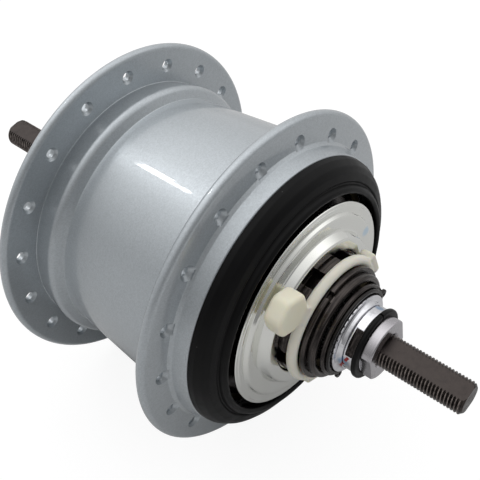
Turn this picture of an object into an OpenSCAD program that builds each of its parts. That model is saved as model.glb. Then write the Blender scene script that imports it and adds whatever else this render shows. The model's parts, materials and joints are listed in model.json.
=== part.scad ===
// Eight-speed internal gear hub for a bicycle's rear wheel, with rim holes for 36 spokes.
// Every module is drawn about a local Z axis that points out of the drive side,
// and place() lays that axis along -Y, with the middle of the axle at the origin.

/* [Axle] */
// Length of the axle beyond each face that bears on the frame's dropouts
axle_end = 25; // [22:0.5:28]
// Diameter of the axle's threaded ends
axle_d = 9.5; // [9.2:0.1:9.8]
// Distance across the two flats of an axle end
axle_flats = 6.9; // [6.6:0.1:7.4]
// Pitch of the ridges that stand for the axle's thread
thread_pitch = 0.98; // [0.9:0.02:1.2]
// Depth of the thread
thread_depth = 0.45; // [0.3:0.05:0.5]
// Chamfer at an axle end
axle_chamfer = 0.9; // [0.5:0.1:1.2]
// Diameter of the axle inside the gears
core_d = 10.4; // [10.2:0.1:10.5]
// Turn of the axle's flats about its own axis
axle_turn = 14.5; // [0:0.5:30]

/* [Shell] */
// Distance of the spoke holes' middles from the edge of their flange
spoke_edge = 6.35; // [5.8:0.05:6.8]
// Spoke holes in each flange
spoke_count = 18; // [14:1:20]
// Diameter of a spoke hole
spoke_hole_d = 2.6; // [2.4:0.1:3]
// Diameter of a spoke hole's countersink
countersink_d = 4.2; // [3.6:0.1:4.6]
// Turn of the shell that the spoke holes are shown at
shell_turn = -0.8; // [-10:0.1:10]
// Height of a flange above the collar beside it
flange_h = 9.9; // [9.4:0.1:11]
// Thickness of a flange
flange_t = 3; // [2.6:0.1:3.4]
// Middle of the drive-side flange from the middle of the axle
flange_right = 24.8; // [24.4:0.1:25.2]
// Middle of the other flange from the middle of the axle
flange_left = 30.2; // [29.8:0.1:30.8]
// Wall of the barrel where it meets the drive-side flange
barrel_wall_right = 4.7; // [4.2:0.1:5.4]
// Wall of the barrel at its narrow end
barrel_wall_left = 2.7; // [2.4:0.1:3.2]
// Wall of the shoulder beside the left flange
shoulder_wall = 5; // [4.5:0.1:5.5]
// Length of that shoulder
shoulder_w = 10.5; // [9.5:0.1:11]
// Wall of the collar round the main bearing's cup
collar_wall = 3.94; // [3.5:0.02:4.4]
// Length of the drive-side collar past its flange
collar_w = 6.6; // [6.4:0.1:7]
// Distance from that collar's end to the face that bears on the dropout
drive_stack = 33.1; // [32.5:0.1:34.5]
// Outer diameter of the splines for a brake unit
spline_d = 52; // [50:0.5:56]
// Number of brake splines
spline_count = 24; // [18:1:30]
// Height of a brake spline
spline_h = 1.4; // [1:0.1:1.8]

/* [Gears] */
// Gear module, pitch diameter over tooth count
gear_module = 0.9; // [0.89:0.005:0.91]
// Pressure angle of the teeth
pressure_angle = 25; // [22:1:26]
// Tooth height above the pitch circle, in modules
addendum = 0.8; // [0.7:0.05:0.8]
// Tooth depth below the pitch circle, in modules
dedendum = 1.0; // [1:0.05:1.05]
// Play between meshing flanks, measured on the pitch circle
backlash = 0.2; // [0.16:0.02:0.26]
// Teeth of the first ring gear
ring_1_teeth = 60; // [60]
// Teeth of the first planets' large step
planet_a_large = 21; // [21]
// Teeth of the first planets' small step
planet_a_small = 11; // [11]
// Teeth of the second ring gear
ring_2_teeth = 63; // [63]
// Teeth of the second planets' left step
planet_b_left = 25; // [24:1:25]
// Teeth of the second planets' middle step, which turns the second ring gear
planet_b_middle = 18; // [18]
// Teeth of the second planets' right step
planet_b_right = 14; // [13:1:15]
// Wall of the second ring gear under its cams
ring_2_wall = 3.475; // [3.3:0.025:3.8]
// Wall of the sleeve that the clutch rollers grip
clutch_wall = 1.7; // [1.5:0.1:2]
// Width of the loose sun gears
sun_w = 4.8; // [4.4:0.1:4.9]
// Diameter of a planet pin
pin_d = 3.9; // [3.7:0.1:4]

/* [Shift parts] */
// Wall of the sleeve that turns on the axle
sleeve_wall = 1.2; // [1:0.05:1.25]
// Angle that the sleeve turns between neighbouring gears
gear_step = 20; // [18:0.5:20]
// Number of gears
gear_count = 8; // [8]
// Diameter of the slotted shift plate
plate_d = 28.2; // [27:0.1:28.6]
// Thickness of the shift plate
plate_t = 1.4; // [1.2:0.1:1.5]
// Number of slots in the shift plate
plate_slots = 22; // [18:1:24]

/* [Drive side] */
// Wall of the driver's end between its bearing's mouth and the sprocket's seat
seat_wall = 2.2; // [2:0.1:2.6]
// Height above that seat of the lugs that turn the sprocket
lug_h = 2.2; // [1.8:0.1:2.4]
// Number of slots between the lugs
lug_slots = 9; // [6:1:12]
// Step from the seat down to the driver's outer end
end_step = 0.4; // [0.2:0.1:0.6]
// Height above the seat of the snap ring that keeps the sprocket on
snap_h = 0.9; // [0.6:0.1:1.2]
// Radial width from the collar in to the dust cap's rim, filled by the rubber seal
seal_w = 10.25; // [9.5:0.25:11]
// Sheet thickness of the dust cap
cap_t = 0.8; // [0.6:0.1:1]
// Distance of the seal's lip from the dust cap's rim
lip_gap = 3; // [2.6:0.1:3.4]
// Thickness of the transport ring's round section
transport_t = 3.1; // [2.8:0.1:3.2]
// Distance of the grip's middle from the middle of the transport ring's section
knob_reach = 9.3; // [8.9:0.1:10]
// Size of the transport ring's grip across its corners
knob_d = 12.4; // [11:0.1:12.8]
// Turn of the transport ring's grip
transport_turn = 138; // [100:1:170]

/* [Bearings] */
// Diameter of the balls between the shell and the driver
main_ball_d = 5.56; // [5.4:0.02:5.6]
// Number of those balls
main_balls = 24; // [18:1:26]
// Diameter of the circle through their middles
main_ball_circle = 68; // [67.8:0.1:68.2]
// Diameter of the balls on the drive-side cone
right_ball_d = 4.76; // [4.6:0.02:4.8]
// Number of those balls
right_balls_n = 11; // [8:1:12]
// Diameter of the circle through their middles
right_ball_circle = 24.6; // [24.5:0.1:24.8]
// Diameter of the balls on the left cone
left_ball_d = 6.35; // [6.1:0.05:6.4]
// Number of those balls
left_balls_n = 9; // [7:1:9]
// Diameter of the circle through their middles
left_ball_circle = 27; // [26.8:0.1:27.4]
// Play between a ball and each race
race_gap = 0.1; // [0.08:0.01:0.14]

/* [Fits] */
// Radial play of a part that turns on another
running_gap = 0.15; // [0.1:0.01:0.16]
// Gap between parts that are pressed or screwed together
seat_gap = 0.03; // [0.02:0.005:0.04]
// End play between parts that turn beside each other
end_gap = 0.3; // [0.25:0.01:0.32]
// Radial play of a planet on its pin
pin_gap = 0.05; // [0.04:0.01:0.08]

/* [Hidden] */

$fn = 96;
eps = 0.01;
third = 120;

// Radii
axle_r = axle_d / 2;
core_r = core_d / 2;
flat_r = axle_flats / 2;
sleeve_in_r = core_r + running_gap;
sleeve_r = sleeve_in_r + sleeve_wall;
rib_r = sleeve_r + 0.6;
sun_bore_r = sleeve_r + running_gap;

// Second ring gear, its roller clutch and the space that they leave in the shell
ring_2_root_r = (ring_2_teeth / 2 + dedendum) * gear_module;
roller_d = 3.4;
cam_low_r = ring_2_root_r + ring_2_wall;
cam_high_r = cam_low_r + 0.7;
roller_circle_r = cam_low_r + 0.1 + roller_d / 2;
clutch_in_r = roller_circle_r + roller_d / 2 + running_gap / 2;
cavity_r = clutch_in_r + clutch_wall;

// Bearings, and what stands round them
main_circle_r = main_ball_circle / 2;
main_ball_r = main_ball_d / 2;
main_cup_r = main_circle_r + main_ball_r + 2;
right_circle_r = right_ball_circle / 2;
right_ball_r = right_ball_d / 2;
left_circle_r = left_ball_circle / 2;
left_ball_r = left_ball_d / 2;
collar_r = main_cup_r + seat_gap + collar_wall;
flange_r = collar_r + flange_h;
driver_mouth_r = right_circle_r + right_ball_r - 0.48;
seat_r = driver_mouth_r + seat_wall;
lug_r = seat_r + lug_h;

// Axial places, measured from the middle of the axle towards the drive side
collar_end = flange_right + flange_t / 2 + collar_w;
face = collar_end + drive_stack;
half_axle = face + axle_end;
nut_w = 3.2;
o_ring_w = 1.5;
stop_w = 3;
toothed_w = 2.7;
nut_s = face - nut_w;
o_ring_s = nut_s - o_ring_w - seat_gap;
stop_s = o_ring_s - stop_w - seat_gap;
toothed_s = stop_s - toothed_w;
plate_s = toothed_s - end_gap - plate_t;
driver_end = plate_s - 0.5;
clip_s = plate_s + plate_t;
core_end = toothed_s - seat_gap;
main_race_s = collar_end - 4.3;
right_race_s = driver_end - 6.7;
left_wall_in = -(flange_left + 3);
left_wall_out = -(flange_left + 7.3);
left_race_s = -(flange_left + 7.2);

// Gear train: the tooth counts set how far a planet's middle lies from the axis, and
// what is left of that distance makes each sun gear
sum_a = ring_1_teeth - planet_a_large;
sum_b = ring_2_teeth - planet_b_middle;
centre_a = sum_a * gear_module / 2;
centre_b = sum_b * gear_module / 2;
sun_1_teeth = sum_a - planet_a_small;
planet_b_teeth = [planet_b_left, planet_b_middle, planet_b_right];
sun_b_teeth = [for (teeth = planet_b_teeth) sum_b - teeth];
phase_a = 30;
phase_b = 90;
sun_1_s = [-3, 1.9];
ring_1_s = [2.5, 8];
planet_b_s = [-24.2, -18.9, -13.3, -8];
sun_b_mid = [-21.6, -16.1, -10.6];
mid_plate_s = [-7.5, -3.5];
left_plate_s = [-27.5, -24.5];
right_plate_s = [8.6, 11.2];
pillar_r = 5;
pillar_circle_r = centre_b + 0.75;
mid_plate_r = ring_2_root_r + 1.05;
left_plate_r = cavity_r - 3.4;
ratchet_depth = 1;

// First ring gear and its seat on the driver
ring_1_root_r = (ring_1_teeth / 2 + dedendum) * gear_module;
ring_1_r = ring_1_root_r + 2.4;
driver_flange_r = ring_1_root_r + 0.1;
driver_flange_s = [12.2, 15];
right_plate_r = driver_flange_r - 1.7;
nose_r = 12;
nose_s = [8.6, 12.2];

// Places of the second ring gear and its roller clutch
ring_2_plain_r = mid_plate_r + end_gap;
ring_2_s = [-18.5, -4.9];
ring_2_teeth_s = [-18.5, -13.7];
roller_count = 12;
roller_s = [-16, -6.4];
clutch_s = [-19, -4.5];
shell_ratchet_s = [-28.2, -23.8];
ratchet_ring_r = left_plate_r + 0.5;

// Sleeve slot and windows
rib_w = 3;
rib_s = [-3, driver_end - 3];
rib_turn = 60;
rib_margin = asin(rib_w / 2 / sleeve_in_r) + 3;
shift_range = (gear_count - 1) * gear_step;
sleeve_s = [-25.4, clip_s];
pawl_turns = [200, 320, 80];
window_half = 8;

// Drive side
driver_end_r = seat_r - end_step;
snap_s = driver_end - 3.9;
snap_w = 1.5;
snap_groove_r = seat_r - 1.4;
snap_ring_r = seat_r + snap_h;
transport_r = seat_r + running_gap + transport_t / 2;
knob_r = transport_r + knob_reach;
transport_s = snap_s - transport_t / 2 - 0.1;
seat_start = transport_s - transport_t / 2 - 0.1;
lug_start = seat_start - 3.2;
cap_inner_s = lug_start + 0.9;
cap_rim_s = collar_end + 6.9;
cap_hole_r = lug_r + 0.3;
cap_r = collar_r - seal_w;
// Grip of the transport ring, its neck, and the pads at the ring's two ends
knob_s = [cap_inner_s - 0.04, snap_s];
neck_w = 5.6;
neck_h = 2.4;
pad_turns = [24.3, 250];
pad_w = 9.1;
pad_in_r = lug_r + running_gap + 0.1;
pad_out_r = [pad_in_r + 2.35, pad_in_r + 1.5];
pad_s = [transport_s - 3.1, transport_s + 1.4];

function polar(r, a) = [r * cos(a), r * sin(a)];
function arc(c, r, a0, a1, n = 6) = [for (i = [0:n]) c + polar(r, a0 + (a1 - a0) * i / n)];

// Angle between a line and the involute at pressure angle a, in degrees
function involute(a) = tan(a) * 180 / PI - a;

// Half the angle that a tooth covers at radius r; slack thins it on the pitch circle
function tooth_half(teeth, r, slack) = let (pitch_r = teeth * gear_module / 2,
    base_r = pitch_r * cos(pressure_angle))
    90 / teeth - slack / 4 / pitch_r * 180 / PI + involute(pressure_angle)
    - involute(acos(min(1, base_r / max(r, base_r))));

// Outline of a gear between two heights, as heights above the pitch circle in modules
function gear_outline(teeth, low, high, slack, steps = 3) = let (pitch_r = teeth * gear_module / 2)
    [for (k = [0:teeth - 1], side = [-1, 1], i = [0:steps])
        let (t = side < 0 ? i / steps : 1 - i / steps, r = pitch_r + (low + (high - low) * t) * gear_module)
        polar(r, k * 360 / teeth + side * tooth_half(teeth, r, slack))];

// Turn of a sun gear so that it meshes with planets whose own first tooth points along +X
function sun_turn(teeth, planet, phase) = phase - (180 - (phase + 180) * planet) / teeth;
// Turn of a ring gear's first tooth so that it meshes with the same planets
function ring_turn(teeth, planet, phase) = phase - (180 + phase * planet) / teeth;

// Lays the local Z axis along -Y
module place() rotate([90, 0, 0]) children();

// Solid of revolution from points given as radius and axial place
module spin(points) rotate_extrude() polygon(points);

// Round bar between two axial places
module bar(r, s) translate([0, 0, s[0]]) cylinder(r = r, h = s[1] - s[0]);

// Ring between two axial places
module ring(r_out, r_in, s) difference() {
    bar(r_out, s);
    bar(r_in, [s[0] - 1, s[1] + 1]);
}

// Flat outline raised between two axial places
module raise(s) translate([0, 0, s[0]]) linear_extrude(s[1] - s[0]) children();

// Wedge of a circle from angle a to angle b
module wedge(r, a, b) polygon(concat([[0, 0]], arc([0, 0], r, a, b, ceil((b - a) / 15))));

// External gear between two axial places
module gear(teeth, s, turn = 0) raise(s) rotate(turn)
    polygon(gear_outline(teeth, -dedendum, addendum, backlash));

// Space that a ring gear's teeth leave, between two axial places
module ring_space(teeth, s, turn = 0) raise(s) rotate(turn + 180 / teeth)
    polygon(gear_outline(teeth, -addendum, dedendum, -backlash));

// Copies at three places around the axis
module thrice(phase) for (k = [0:2]) rotate(phase + k * third) children();

// The same, moved out to a circle
module around(circle_r, phase) thrice(phase) translate([circle_r, 0, 0]) children();

// Two parallel flats cut from whatever stands beyond distance d
module flats(d, turn, s) for (k = [0, 180]) rotate(turn + k)
    translate([d, -30, s[0]]) cube([30, 60, s[1] - s[0]]);

// Torus-shaped groove that balls run in
module race(circle_r, ball_r, s) translate([0, 0, s]) rotate_extrude()
    translate([circle_r, 0]) circle(ball_r + race_gap, $fn = 48);

// Ring of balls
module ball_ring(n, circle_r, ball_r, s) for (k = [0:n - 1]) rotate(k * 360 / n)
    translate([circle_r, 0, s]) sphere(ball_r, $fn = 32);

// Cage beside the balls, with a finger between each pair
module ball_cage(n, circle_r, ball_r, s, finger_w, r_in, r_out) {
    side = s + ball_r + 0.15;
    ring(r_out, r_in, [side, side + 1]);
    for (k = [0:n - 1]) rotate((k + 0.5) * 360 / n)
        translate([circle_r - 0.6, -finger_w / 2, s - 0.5]) cube([1.2, finger_w, side - s + 0.8]);
}

driver_pawl_span = 50;
carrier_pawl_span = 22;
pawl_depth = 2;

// Outline of a stowed pawl below radius r, its tail at angle 0; grow widens it into a pocket
module pawl_outline(r, span, depth, grow = 0) {
    intersection() {
        difference() {
            circle(r + grow * 10);
            circle(r - depth - grow);
        }
        wedge(r * 2, -grow * 3, span + grow * 6);
    }
    translate([r - depth / 2, 0]) circle(depth / 2 + grow, $fn = 32);
}

// Saw-tooth outline of an inside ratchet
function ratchet_outline(teeth, r) = [for (k = [0:teeth - 1], i = [0:1])
    polar(r + i * ratchet_depth, (k + i * 0.92) * 360 / teeth)];

// Axle, with the rib that the fixed sun gear and the cone are keyed to
thread_zones = [[-half_axle + axle_chamfer + 0.3, -face + 4], [face - 4, half_axle - axle_chamfer - 0.3]];
function ridges(s) = let (n = floor((s[1] - s[0]) / thread_pitch)) [for (k = [0:n - 1], i = [0:1])
    [axle_r - i * thread_depth, s[0] + (k + i / 2) * thread_pitch]];

module axle() color([0.22, 0.17, 0.15]) place() {
    boss_s = [-flange_left + 0.7, left_plate_s[0] + 1.9];
    end_r = axle_r - axle_chamfer;
    difference() {
        union() {
            spin(concat([[0, -half_axle], [end_r, -half_axle], [axle_r, -half_axle + axle_chamfer]],
                ridges(thread_zones[0]), [[axle_r, thread_zones[0][1]]],
                [[axle_r, boss_s[0]], [left_plate_bore_r - running_gap, boss_s[0]],
                 [left_plate_bore_r - running_gap, boss_s[1]], [core_r, boss_s[1]],
                 [core_r, core_end], [axle_r, core_end]],
                ridges(thread_zones[1]), [[axle_r, thread_zones[1][1]]],
                [[axle_r, half_axle - axle_chamfer], [end_r, half_axle], [0, half_axle]]));
            rotate(rib_turn) translate([core_r - 1, -rib_w / 2, rib_s[0]])
                cube([rib_r - core_r + 1, rib_w, rib_s[1] - rib_s[0]]);
        }
        flats(flat_r, axle_turn + 90, [core_end, half_axle + 1]);
        flats(flat_r, axle_turn + 90, [-half_axle - 1, left_washer_s[1]]);
        for (i = [0:2]) rotate(pawl_turns[i])
            translate([core_r / 2, -2.4, sun_b_mid[i] - sun_w / 2 - 0.1]) cube([core_r, 4.8, sun_w + 0.2]);
    }
}

module keyed_bore(s) {
    bar(sun_bore_r, s);
    rotate(rib_turn) translate([0, -rib_w / 2 - seat_gap, s[0]])
        cube([rib_r + 0.1, rib_w + 2 * seat_gap, s[1] - s[0]]);
}

module sun_gear_1() color([0.62, 0.62, 0.64]) place() difference() {
    gear(sun_1_teeth, sun_1_s, sun_turn(sun_1_teeth, planet_a_small, phase_a));
    keyed_bore([sun_1_s[0] - 1, sun_1_s[1] + 1]);
}

cone_shoulder_r = right_circle_r - 0.7;

module right_cone() color([0.6, 0.6, 0.62]) place() difference() {
    inner_r = right_circle_r - right_ball_r;
    spin([[0, right_race_s - 3.2], [inner_r - 0.6, right_race_s - 3.2],
          [inner_r, right_race_s - 2.4], [inner_r, right_race_s],
          [cone_shoulder_r, right_race_s + 1.5], [cone_shoulder_r, plate_s - end_gap],
          [0, plate_s - end_gap]]);
    race(right_circle_r, right_ball_r, right_race_s);
    keyed_bore([right_race_s - 5, rib_s[1] + 0.2]);
    bar(sun_bore_r, [right_race_s, plate_s + 1]);
}

// Shift plate, the clip on it and the toothed washer inside the clip
plate_r = plate_d / 2;
clip_r = plate_r - 0.8;
clip_w = 1;
toothed_r = clip_r - clip_w - 0.4;

module toothed_washer() color([0.78, 0.8, 0.84]) place() difference() {
    union() {
        raise([toothed_s, toothed_s + 1.2]) difference() {
            circle(toothed_r);
            for (k = [0:35]) rotate(k * 10) translate([toothed_r + 0.25, 0]) circle(0.55, $fn = 12);
        }
        spin([[0, toothed_s + 1.2], [toothed_r - 1, toothed_s + 1.2], [toothed_r - 1.6, toothed_s + 1.5],
              [toothed_r - 1.9, toothed_s + toothed_w], [0, toothed_s + toothed_w]]);
    }
    axle_hole([toothed_s - 1, stop_s + 1]);
}

// Hole with the axle's own two flats
module axle_hole(s) difference() {
    bar(axle_r + seat_gap, s);
    flats(flat_r + seat_gap, axle_turn + 90, [s[0] - 1, s[1] + 1]);
}

// Stop ring, with a neck that carries the rubber ring beside it
stop_r = 9.6;
stop_neck_r = 8.2;
stop_end = stop_s + stop_w;
module stop_ring() color([0.8, 0.82, 0.86]) place() difference() {
    spin([[0, stop_s + seat_gap], [stop_r - 0.4, stop_s + seat_gap], [stop_r, stop_s + 0.4],
          [stop_r, stop_end - 0.5], [stop_r - 0.5, stop_end], [stop_neck_r, stop_end],
          [stop_neck_r, nut_s - seat_gap], [0, nut_s - seat_gap]]);
    flats(stop_r - 0.75, axle_turn + 131.5, [stop_s + 0.8, stop_end + 1]);
    axle_hole([stop_s - 1, nut_s + 1]);
}

o_ring_r = 10.3;
o_ring_end = o_ring_s + o_ring_w;
module right_o_ring() color([0.08, 0.08, 0.08]) place() difference() {
    inner_r = stop_neck_r + seat_gap;
    spin([[inner_r, o_ring_s], [o_ring_r - 0.5, o_ring_s], [o_ring_r, o_ring_s + 0.5],
          [o_ring_r, o_ring_end - 0.5], [o_ring_r - 0.5, o_ring_end], [inner_r, o_ring_end]]);
    raise([o_ring_s - 1, nut_s + 1]) wedge(20, 82, 85);
}

nut_r = 8.6;
module locknut(s, outer) difference() {
    tip = outer > 0 ? s[1] : s[0];
    base = outer > 0 ? s[0] : s[1];
    spin([[0, base], [nut_r - 0.2, base], [nut_r, base + outer * 0.3], [nut_r, tip - outer * 0.4],
          [nut_r - 0.5, tip], [0, tip]]);
    bar(axle_r + seat_gap, [s[0] - 1, s[1] + 1]);
    flats(nut_r - 1.1, axle_turn, [s[0] - 1, s[1] + 1]);
}

module right_locknut() color([0.66, 0.65, 0.66]) place() locknut([nut_s, face], 1);

left_cone_r = 11.8;
left_cone_end = left_race_s - 9;
left_washer_s = [left_cone_end - 2, left_cone_end - 0.03];
left_nut_s = [-face, -face + 5.6];

module left_cone() color([0.6, 0.6, 0.62]) place() difference() {
    spin([[0, left_race_s + 2.4], [left_circle_r - left_ball_r - 0.8, left_race_s + 2.4],
          [left_circle_r - left_ball_r, left_race_s + 1.6], [left_circle_r - left_ball_r, left_race_s],
          [left_cone_r, left_race_s - 1.6], [left_cone_r, left_cone_end + 2.5],
          [9, left_cone_end + 2], [9, left_cone_end], [0, left_cone_end]]);
    race(left_circle_r, left_ball_r, left_race_s);
    bar(axle_r + seat_gap, [left_cone_end - 1, left_race_s + 4]);
}

module left_washer() color([0.75, 0.76, 0.78]) place() difference() {
    bar(9.4, left_washer_s);
    axle_hole([left_washer_s[0] - 1, left_washer_s[1] + 1]);
}

module left_spacer() color([0.55, 0.55, 0.57]) place()
    ring(8, axle_r + seat_gap, [left_nut_s[1] + 0.03, left_washer_s[0] - 0.03]);

module left_locknut() color([0.66, 0.65, 0.66]) place() locknut(left_nut_s, -1);

module sun_pawls() color([0.5, 0.5, 0.52]) place() for (i = [0:2]) rotate(pawl_turns[i])
    raise([sun_b_mid[i] - sun_w / 2, sun_b_mid[i] + sun_w / 2])
        polygon([[core_r / 2 + 0.1, -2.2], [core_r - 1.1, -2.2], [core_r - 0.7, -1.6], [core_r - 0.35, 1.2],
                 [core_r - 0.6, 1.9], [core_r / 2 + 0.1, 2.2]]);

// Sleeve that the shift plate turns: its windows let one pawl rise at a time
module cam_sleeve() color([0.55, 0.55, 0.58]) place() difference() {
    ring(sleeve_r, sleeve_in_r, sleeve_s);
    raise([rib_s[0] - 0.4, rib_s[1] + 0.4])
        wedge(20, rib_turn - shift_range - rib_margin, rib_turn + rib_margin);
    for (i = [0:2], g = [i + 1, i + 5])
        raise([sun_b_mid[i] - sun_w / 2, sun_b_mid[i] + sun_w / 2]) rotate(pawl_turns[i] - g * gear_step)
            wedge(20, -window_half, window_half);
}

slot_out_r = plate_r - 0.7;
slot_in_r = slot_out_r - 2.1;
slot_w = 1.6;
module shift_plate() color([0.1, 0.09, 0.09]) place() difference() {
    spin([[sleeve_r + seat_gap, plate_s], [plate_r - 0.3, plate_s], [plate_r, plate_s + 0.3],
          [plate_r, plate_s + plate_t - 0.3], [plate_r - 0.3, plate_s + plate_t],
          [sleeve_r + seat_gap, plate_s + plate_t]]);
    for (k = [0:plate_slots - 1]) rotate(92 + k * 360 / plate_slots) raise([plate_s - 1, clip_s + 1])
        translate([slot_in_r, -slot_w / 2]) square([slot_out_r - slot_in_r, slot_w]);
}

module shift_clip() color([0.07, 0.07, 0.07]) place() raise([clip_s + 0.03, clip_s + 0.93]) {
    difference() {
        circle(clip_r);
        circle(clip_r - clip_w);
        wedge(20, -123, 28);
    }
    for (a = [24, -119]) translate(polar(clip_r - 0.1, a)) circle(1.3, $fn = 32);
}

// Coil spring round the sleeve, clear of the axle's rib, that turns the sleeve back
spring_turns = 5;
spring_s = [16, 30];
spring_wire = 0.5;
spring_r = norm([rib_r, rib_w / 2]) + 2 * running_gap + spring_wire;
spring_steps = 24;
spring_sides = 6;
module return_spring() color([0.7, 0.7, 0.72]) place() {
    rings = spring_turns * spring_steps;
    rise = (spring_s[1] - spring_s[0]) / rings;
    points = [for (i = [0:rings], j = [0:spring_sides - 1])
        let (a = rib_turn + 40 + i * 360 / spring_steps, b = j * 360 / spring_sides,
             r = spring_r + spring_wire * cos(b))
        [r * cos(a), r * sin(a), spring_s[0] + rise * i + spring_wire * sin(b)]];
    sides = [for (i = [0:rings - 1], j = [0:spring_sides - 1])
        let (p = i * spring_sides + j, q = i * spring_sides + (j + 1) % spring_sides)
        each [[p, q, q + spring_sides], [p, q + spring_sides, p + spring_sides]]];
    start = [for (j = [1:spring_sides - 2]) [0, j + 1, j]];
    last = rings * spring_sides;
    end = [for (j = [1:spring_sides - 2]) [last, last + j, last + j + 1]];
    polyhedron(points, concat(sides, start, end));
}

driver_shoulder_r = main_circle_r - 0.6;
driver_bore_r = 9;
driver_neck_r = lug_r - 0.2;

module driver() color([0.2, 0.17, 0.16]) place() difference() {
    spin([[0, nose_s[0]], [nose_r, nose_s[0]], [nose_r, driver_flange_s[0]],
          [driver_flange_r, driver_flange_s[0]], [driver_flange_r, driver_flange_s[1]],
          [20.5, driver_flange_s[1] + 1.5], [20.5, main_race_s - 6.5], [27, main_race_s - 4.6],
          [main_circle_r - main_ball_r - 1, main_race_s - 3.6],
          [main_circle_r - main_ball_r, main_race_s - 2.6], [main_circle_r - main_ball_r, main_race_s],
          [driver_shoulder_r, main_race_s + 1.6], [driver_shoulder_r, main_race_s + 4],
          [driver_shoulder_r - 2, main_race_s + 5], [driver_neck_r + 2, main_race_s + 6],
          [driver_neck_r, main_race_s + 8], [driver_neck_r, lug_start], [lug_r, lug_start],
          [lug_r, seat_start - 0.3], [lug_r - 0.3, seat_start], [seat_r, seat_start], [seat_r, snap_s],
          [snap_groove_r, snap_s], [snap_groove_r, snap_s + snap_w + 0.1],
          [driver_end_r, snap_s + snap_w + 0.1], [driver_end_r, driver_end - 0.9],
          [driver_end_r - 0.9, driver_end], [0, driver_end]]);
    spin([[0, nose_s[0] - 1], [driver_bore_r, nose_s[0] - 1], [driver_bore_r, right_race_s - 4.4],
          [right_circle_r - 0.4, right_race_s - 3.4], [right_circle_r - 0.4, right_race_s],
          [driver_mouth_r, right_race_s], [driver_mouth_r, driver_end - 0.4],
          [driver_mouth_r + 0.4, driver_end + eps], [0, driver_end + eps]]);
    race(main_circle_r, main_ball_r, main_race_s);
    race(right_circle_r, right_ball_r, right_race_s);
    for (k = [0:lug_slots - 1]) rotate(108 + k * 360 / lug_slots)
        raise([lug_start - 1, seat_start + 1]) difference() {
            wedge(lug_r + 2, -9, 9);
            circle(seat_r - 0.6);
        }
    thrice(0) raise([nose_s[0] - 1, nose_s[0] + 2.5]) 
        pawl_outline(nose_r, driver_pawl_span, pawl_depth, 0.1);
    pawl_wire(nose_r, nose_s[0] + 1.3, 0.15);
}

// Wire ring in the pawls' groove; grow widens it into the groove
module pawl_wire(r, s, grow = 0) translate([0, 0, s]) rotate_extrude()
    translate([r - 0.45, 0]) square([0.6 + 2 * grow, 0.6 + 2 * grow], center = true);

module pawls(n, r, s, span) difference() {
    for (k = [0:n - 1]) rotate(k * 360 / n) raise(s) pawl_outline(r - 0.1, span, pawl_depth - 0.1);
    pawl_wire(r, (s[0] + s[1]) / 2, 0.1);
}

module driver_snap_ring() color([0.2, 0.18, 0.17]) place() difference() {
    spin([[snap_groove_r + seat_gap, snap_s + 0.05], [snap_ring_r - 0.5, snap_s + 0.05],
          [snap_ring_r, snap_s + 0.55], [snap_ring_r, snap_s + snap_w - 0.5],
          [snap_ring_r - 0.5, snap_s + snap_w], [snap_groove_r + seat_gap, snap_s + snap_w]]);
    raise([snap_s - 1, driver_end]) wedge(30, 108, 116);
}

// Pressed dust cap, drawn as the outside line and the same line one sheet thickness further in.
// A point is a share of the width from hole to rim, and an axial place
cap_line = [for (p = [[1, cap_rim_s - 0.3], [0.97, cap_rim_s], [0.81, cap_rim_s + 0.1],
                      [0.765, cap_rim_s + 0.5], [0.715, cap_rim_s + 1.1], [0.632, cap_rim_s + 1.1],
                      [0.515, cap_rim_s + 0.8], [0.412, cap_rim_s + 1.4], [0.338, cap_inner_s - 0.9],
                      [0.287, cap_inner_s - 0.2], [0.22, cap_inner_s], [0.044, cap_inner_s - 0.1],
                      [0, cap_inner_s - 0.5]]) [cap_hole_r + p[0] * (cap_r - cap_hole_r), p[1]]];
module dust_cap() color([0.82, 0.84, 0.84]) place() {
    count = len(cap_line);
    spin(concat(cap_line, [for (i = [count - 1:-1:0]) cap_line[i] - [0, cap_t]]));
    ring(cap_hole_r + cap_t, driver_neck_r + seat_gap, [lug_start - 1.6, lug_start - 0.05]);
    ring(cap_hole_r + cap_t, cap_hole_r, [lug_start - 0.8, cap_inner_s - 0.6]);
}

// Open plastic ring that keeps the seat for the sprocket, with a hexagonal grip in its middle
// and a pad at each end
module transport_ring() color([0.92, 0.9, 0.8]) place() {
    difference() {
        translate([0, 0, transport_s]) rotate_extrude() translate([transport_r, 0])
            circle(transport_t / 2, $fn = 48);
        raise([transport_s - transport_t, transport_s + transport_t])
            wedge(30, pad_turns[1] + 8 - 360, pad_turns[0] - 10);
    }
    round_r = knob_d / 2 - 0.4;
    rotate(transport_turn) {
        translate([knob_r, 0, 0]) intersection() {
            translate([0, 0, knob_s[0]]) rotate(30)
                cylinder(d = knob_d, h = knob_s[1] - knob_s[0], $fn = 6);
            spin([[0, knob_s[0]], [round_r - 1, knob_s[0]], [round_r, knob_s[0] + 0.9],
                  [round_r, knob_s[1] - 0.9], [round_r - 1, knob_s[1]], [0, knob_s[1]]]);
        }
        translate([transport_r, -neck_w / 2, transport_s - neck_h / 2])
            cube([knob_r - transport_r - 3, neck_w, neck_h]);
    }
    for (i = [0, 1]) rotate(pad_turns[i]) translate([pad_in_r, -pad_w / 2, pad_s[0]])
        cube([pad_out_r[i] - pad_in_r, pad_w, pad_s[1] - pad_s[0]]);
}

module ring_gear_1() color([0.55, 0.55, 0.57]) place() difference() {
    bar(ring_1_r, [ring_1_s[0], driver_flange_s[1]]);
    ring_space(ring_1_teeth, [ring_1_s[0] - 1, ring_1_s[1] + 0.1],
               ring_turn(ring_1_teeth, planet_a_large, phase_a));
    bar(driver_flange_r + seat_gap, [ring_1_s[1], driver_flange_s[1] + 1]);
}

module driver_pawls() color([0.5, 0.5, 0.52]) place()
    pawls(3, nose_r, [nose_s[0] + 0.1, nose_s[0] + 2.4], driver_pawl_span);

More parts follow.
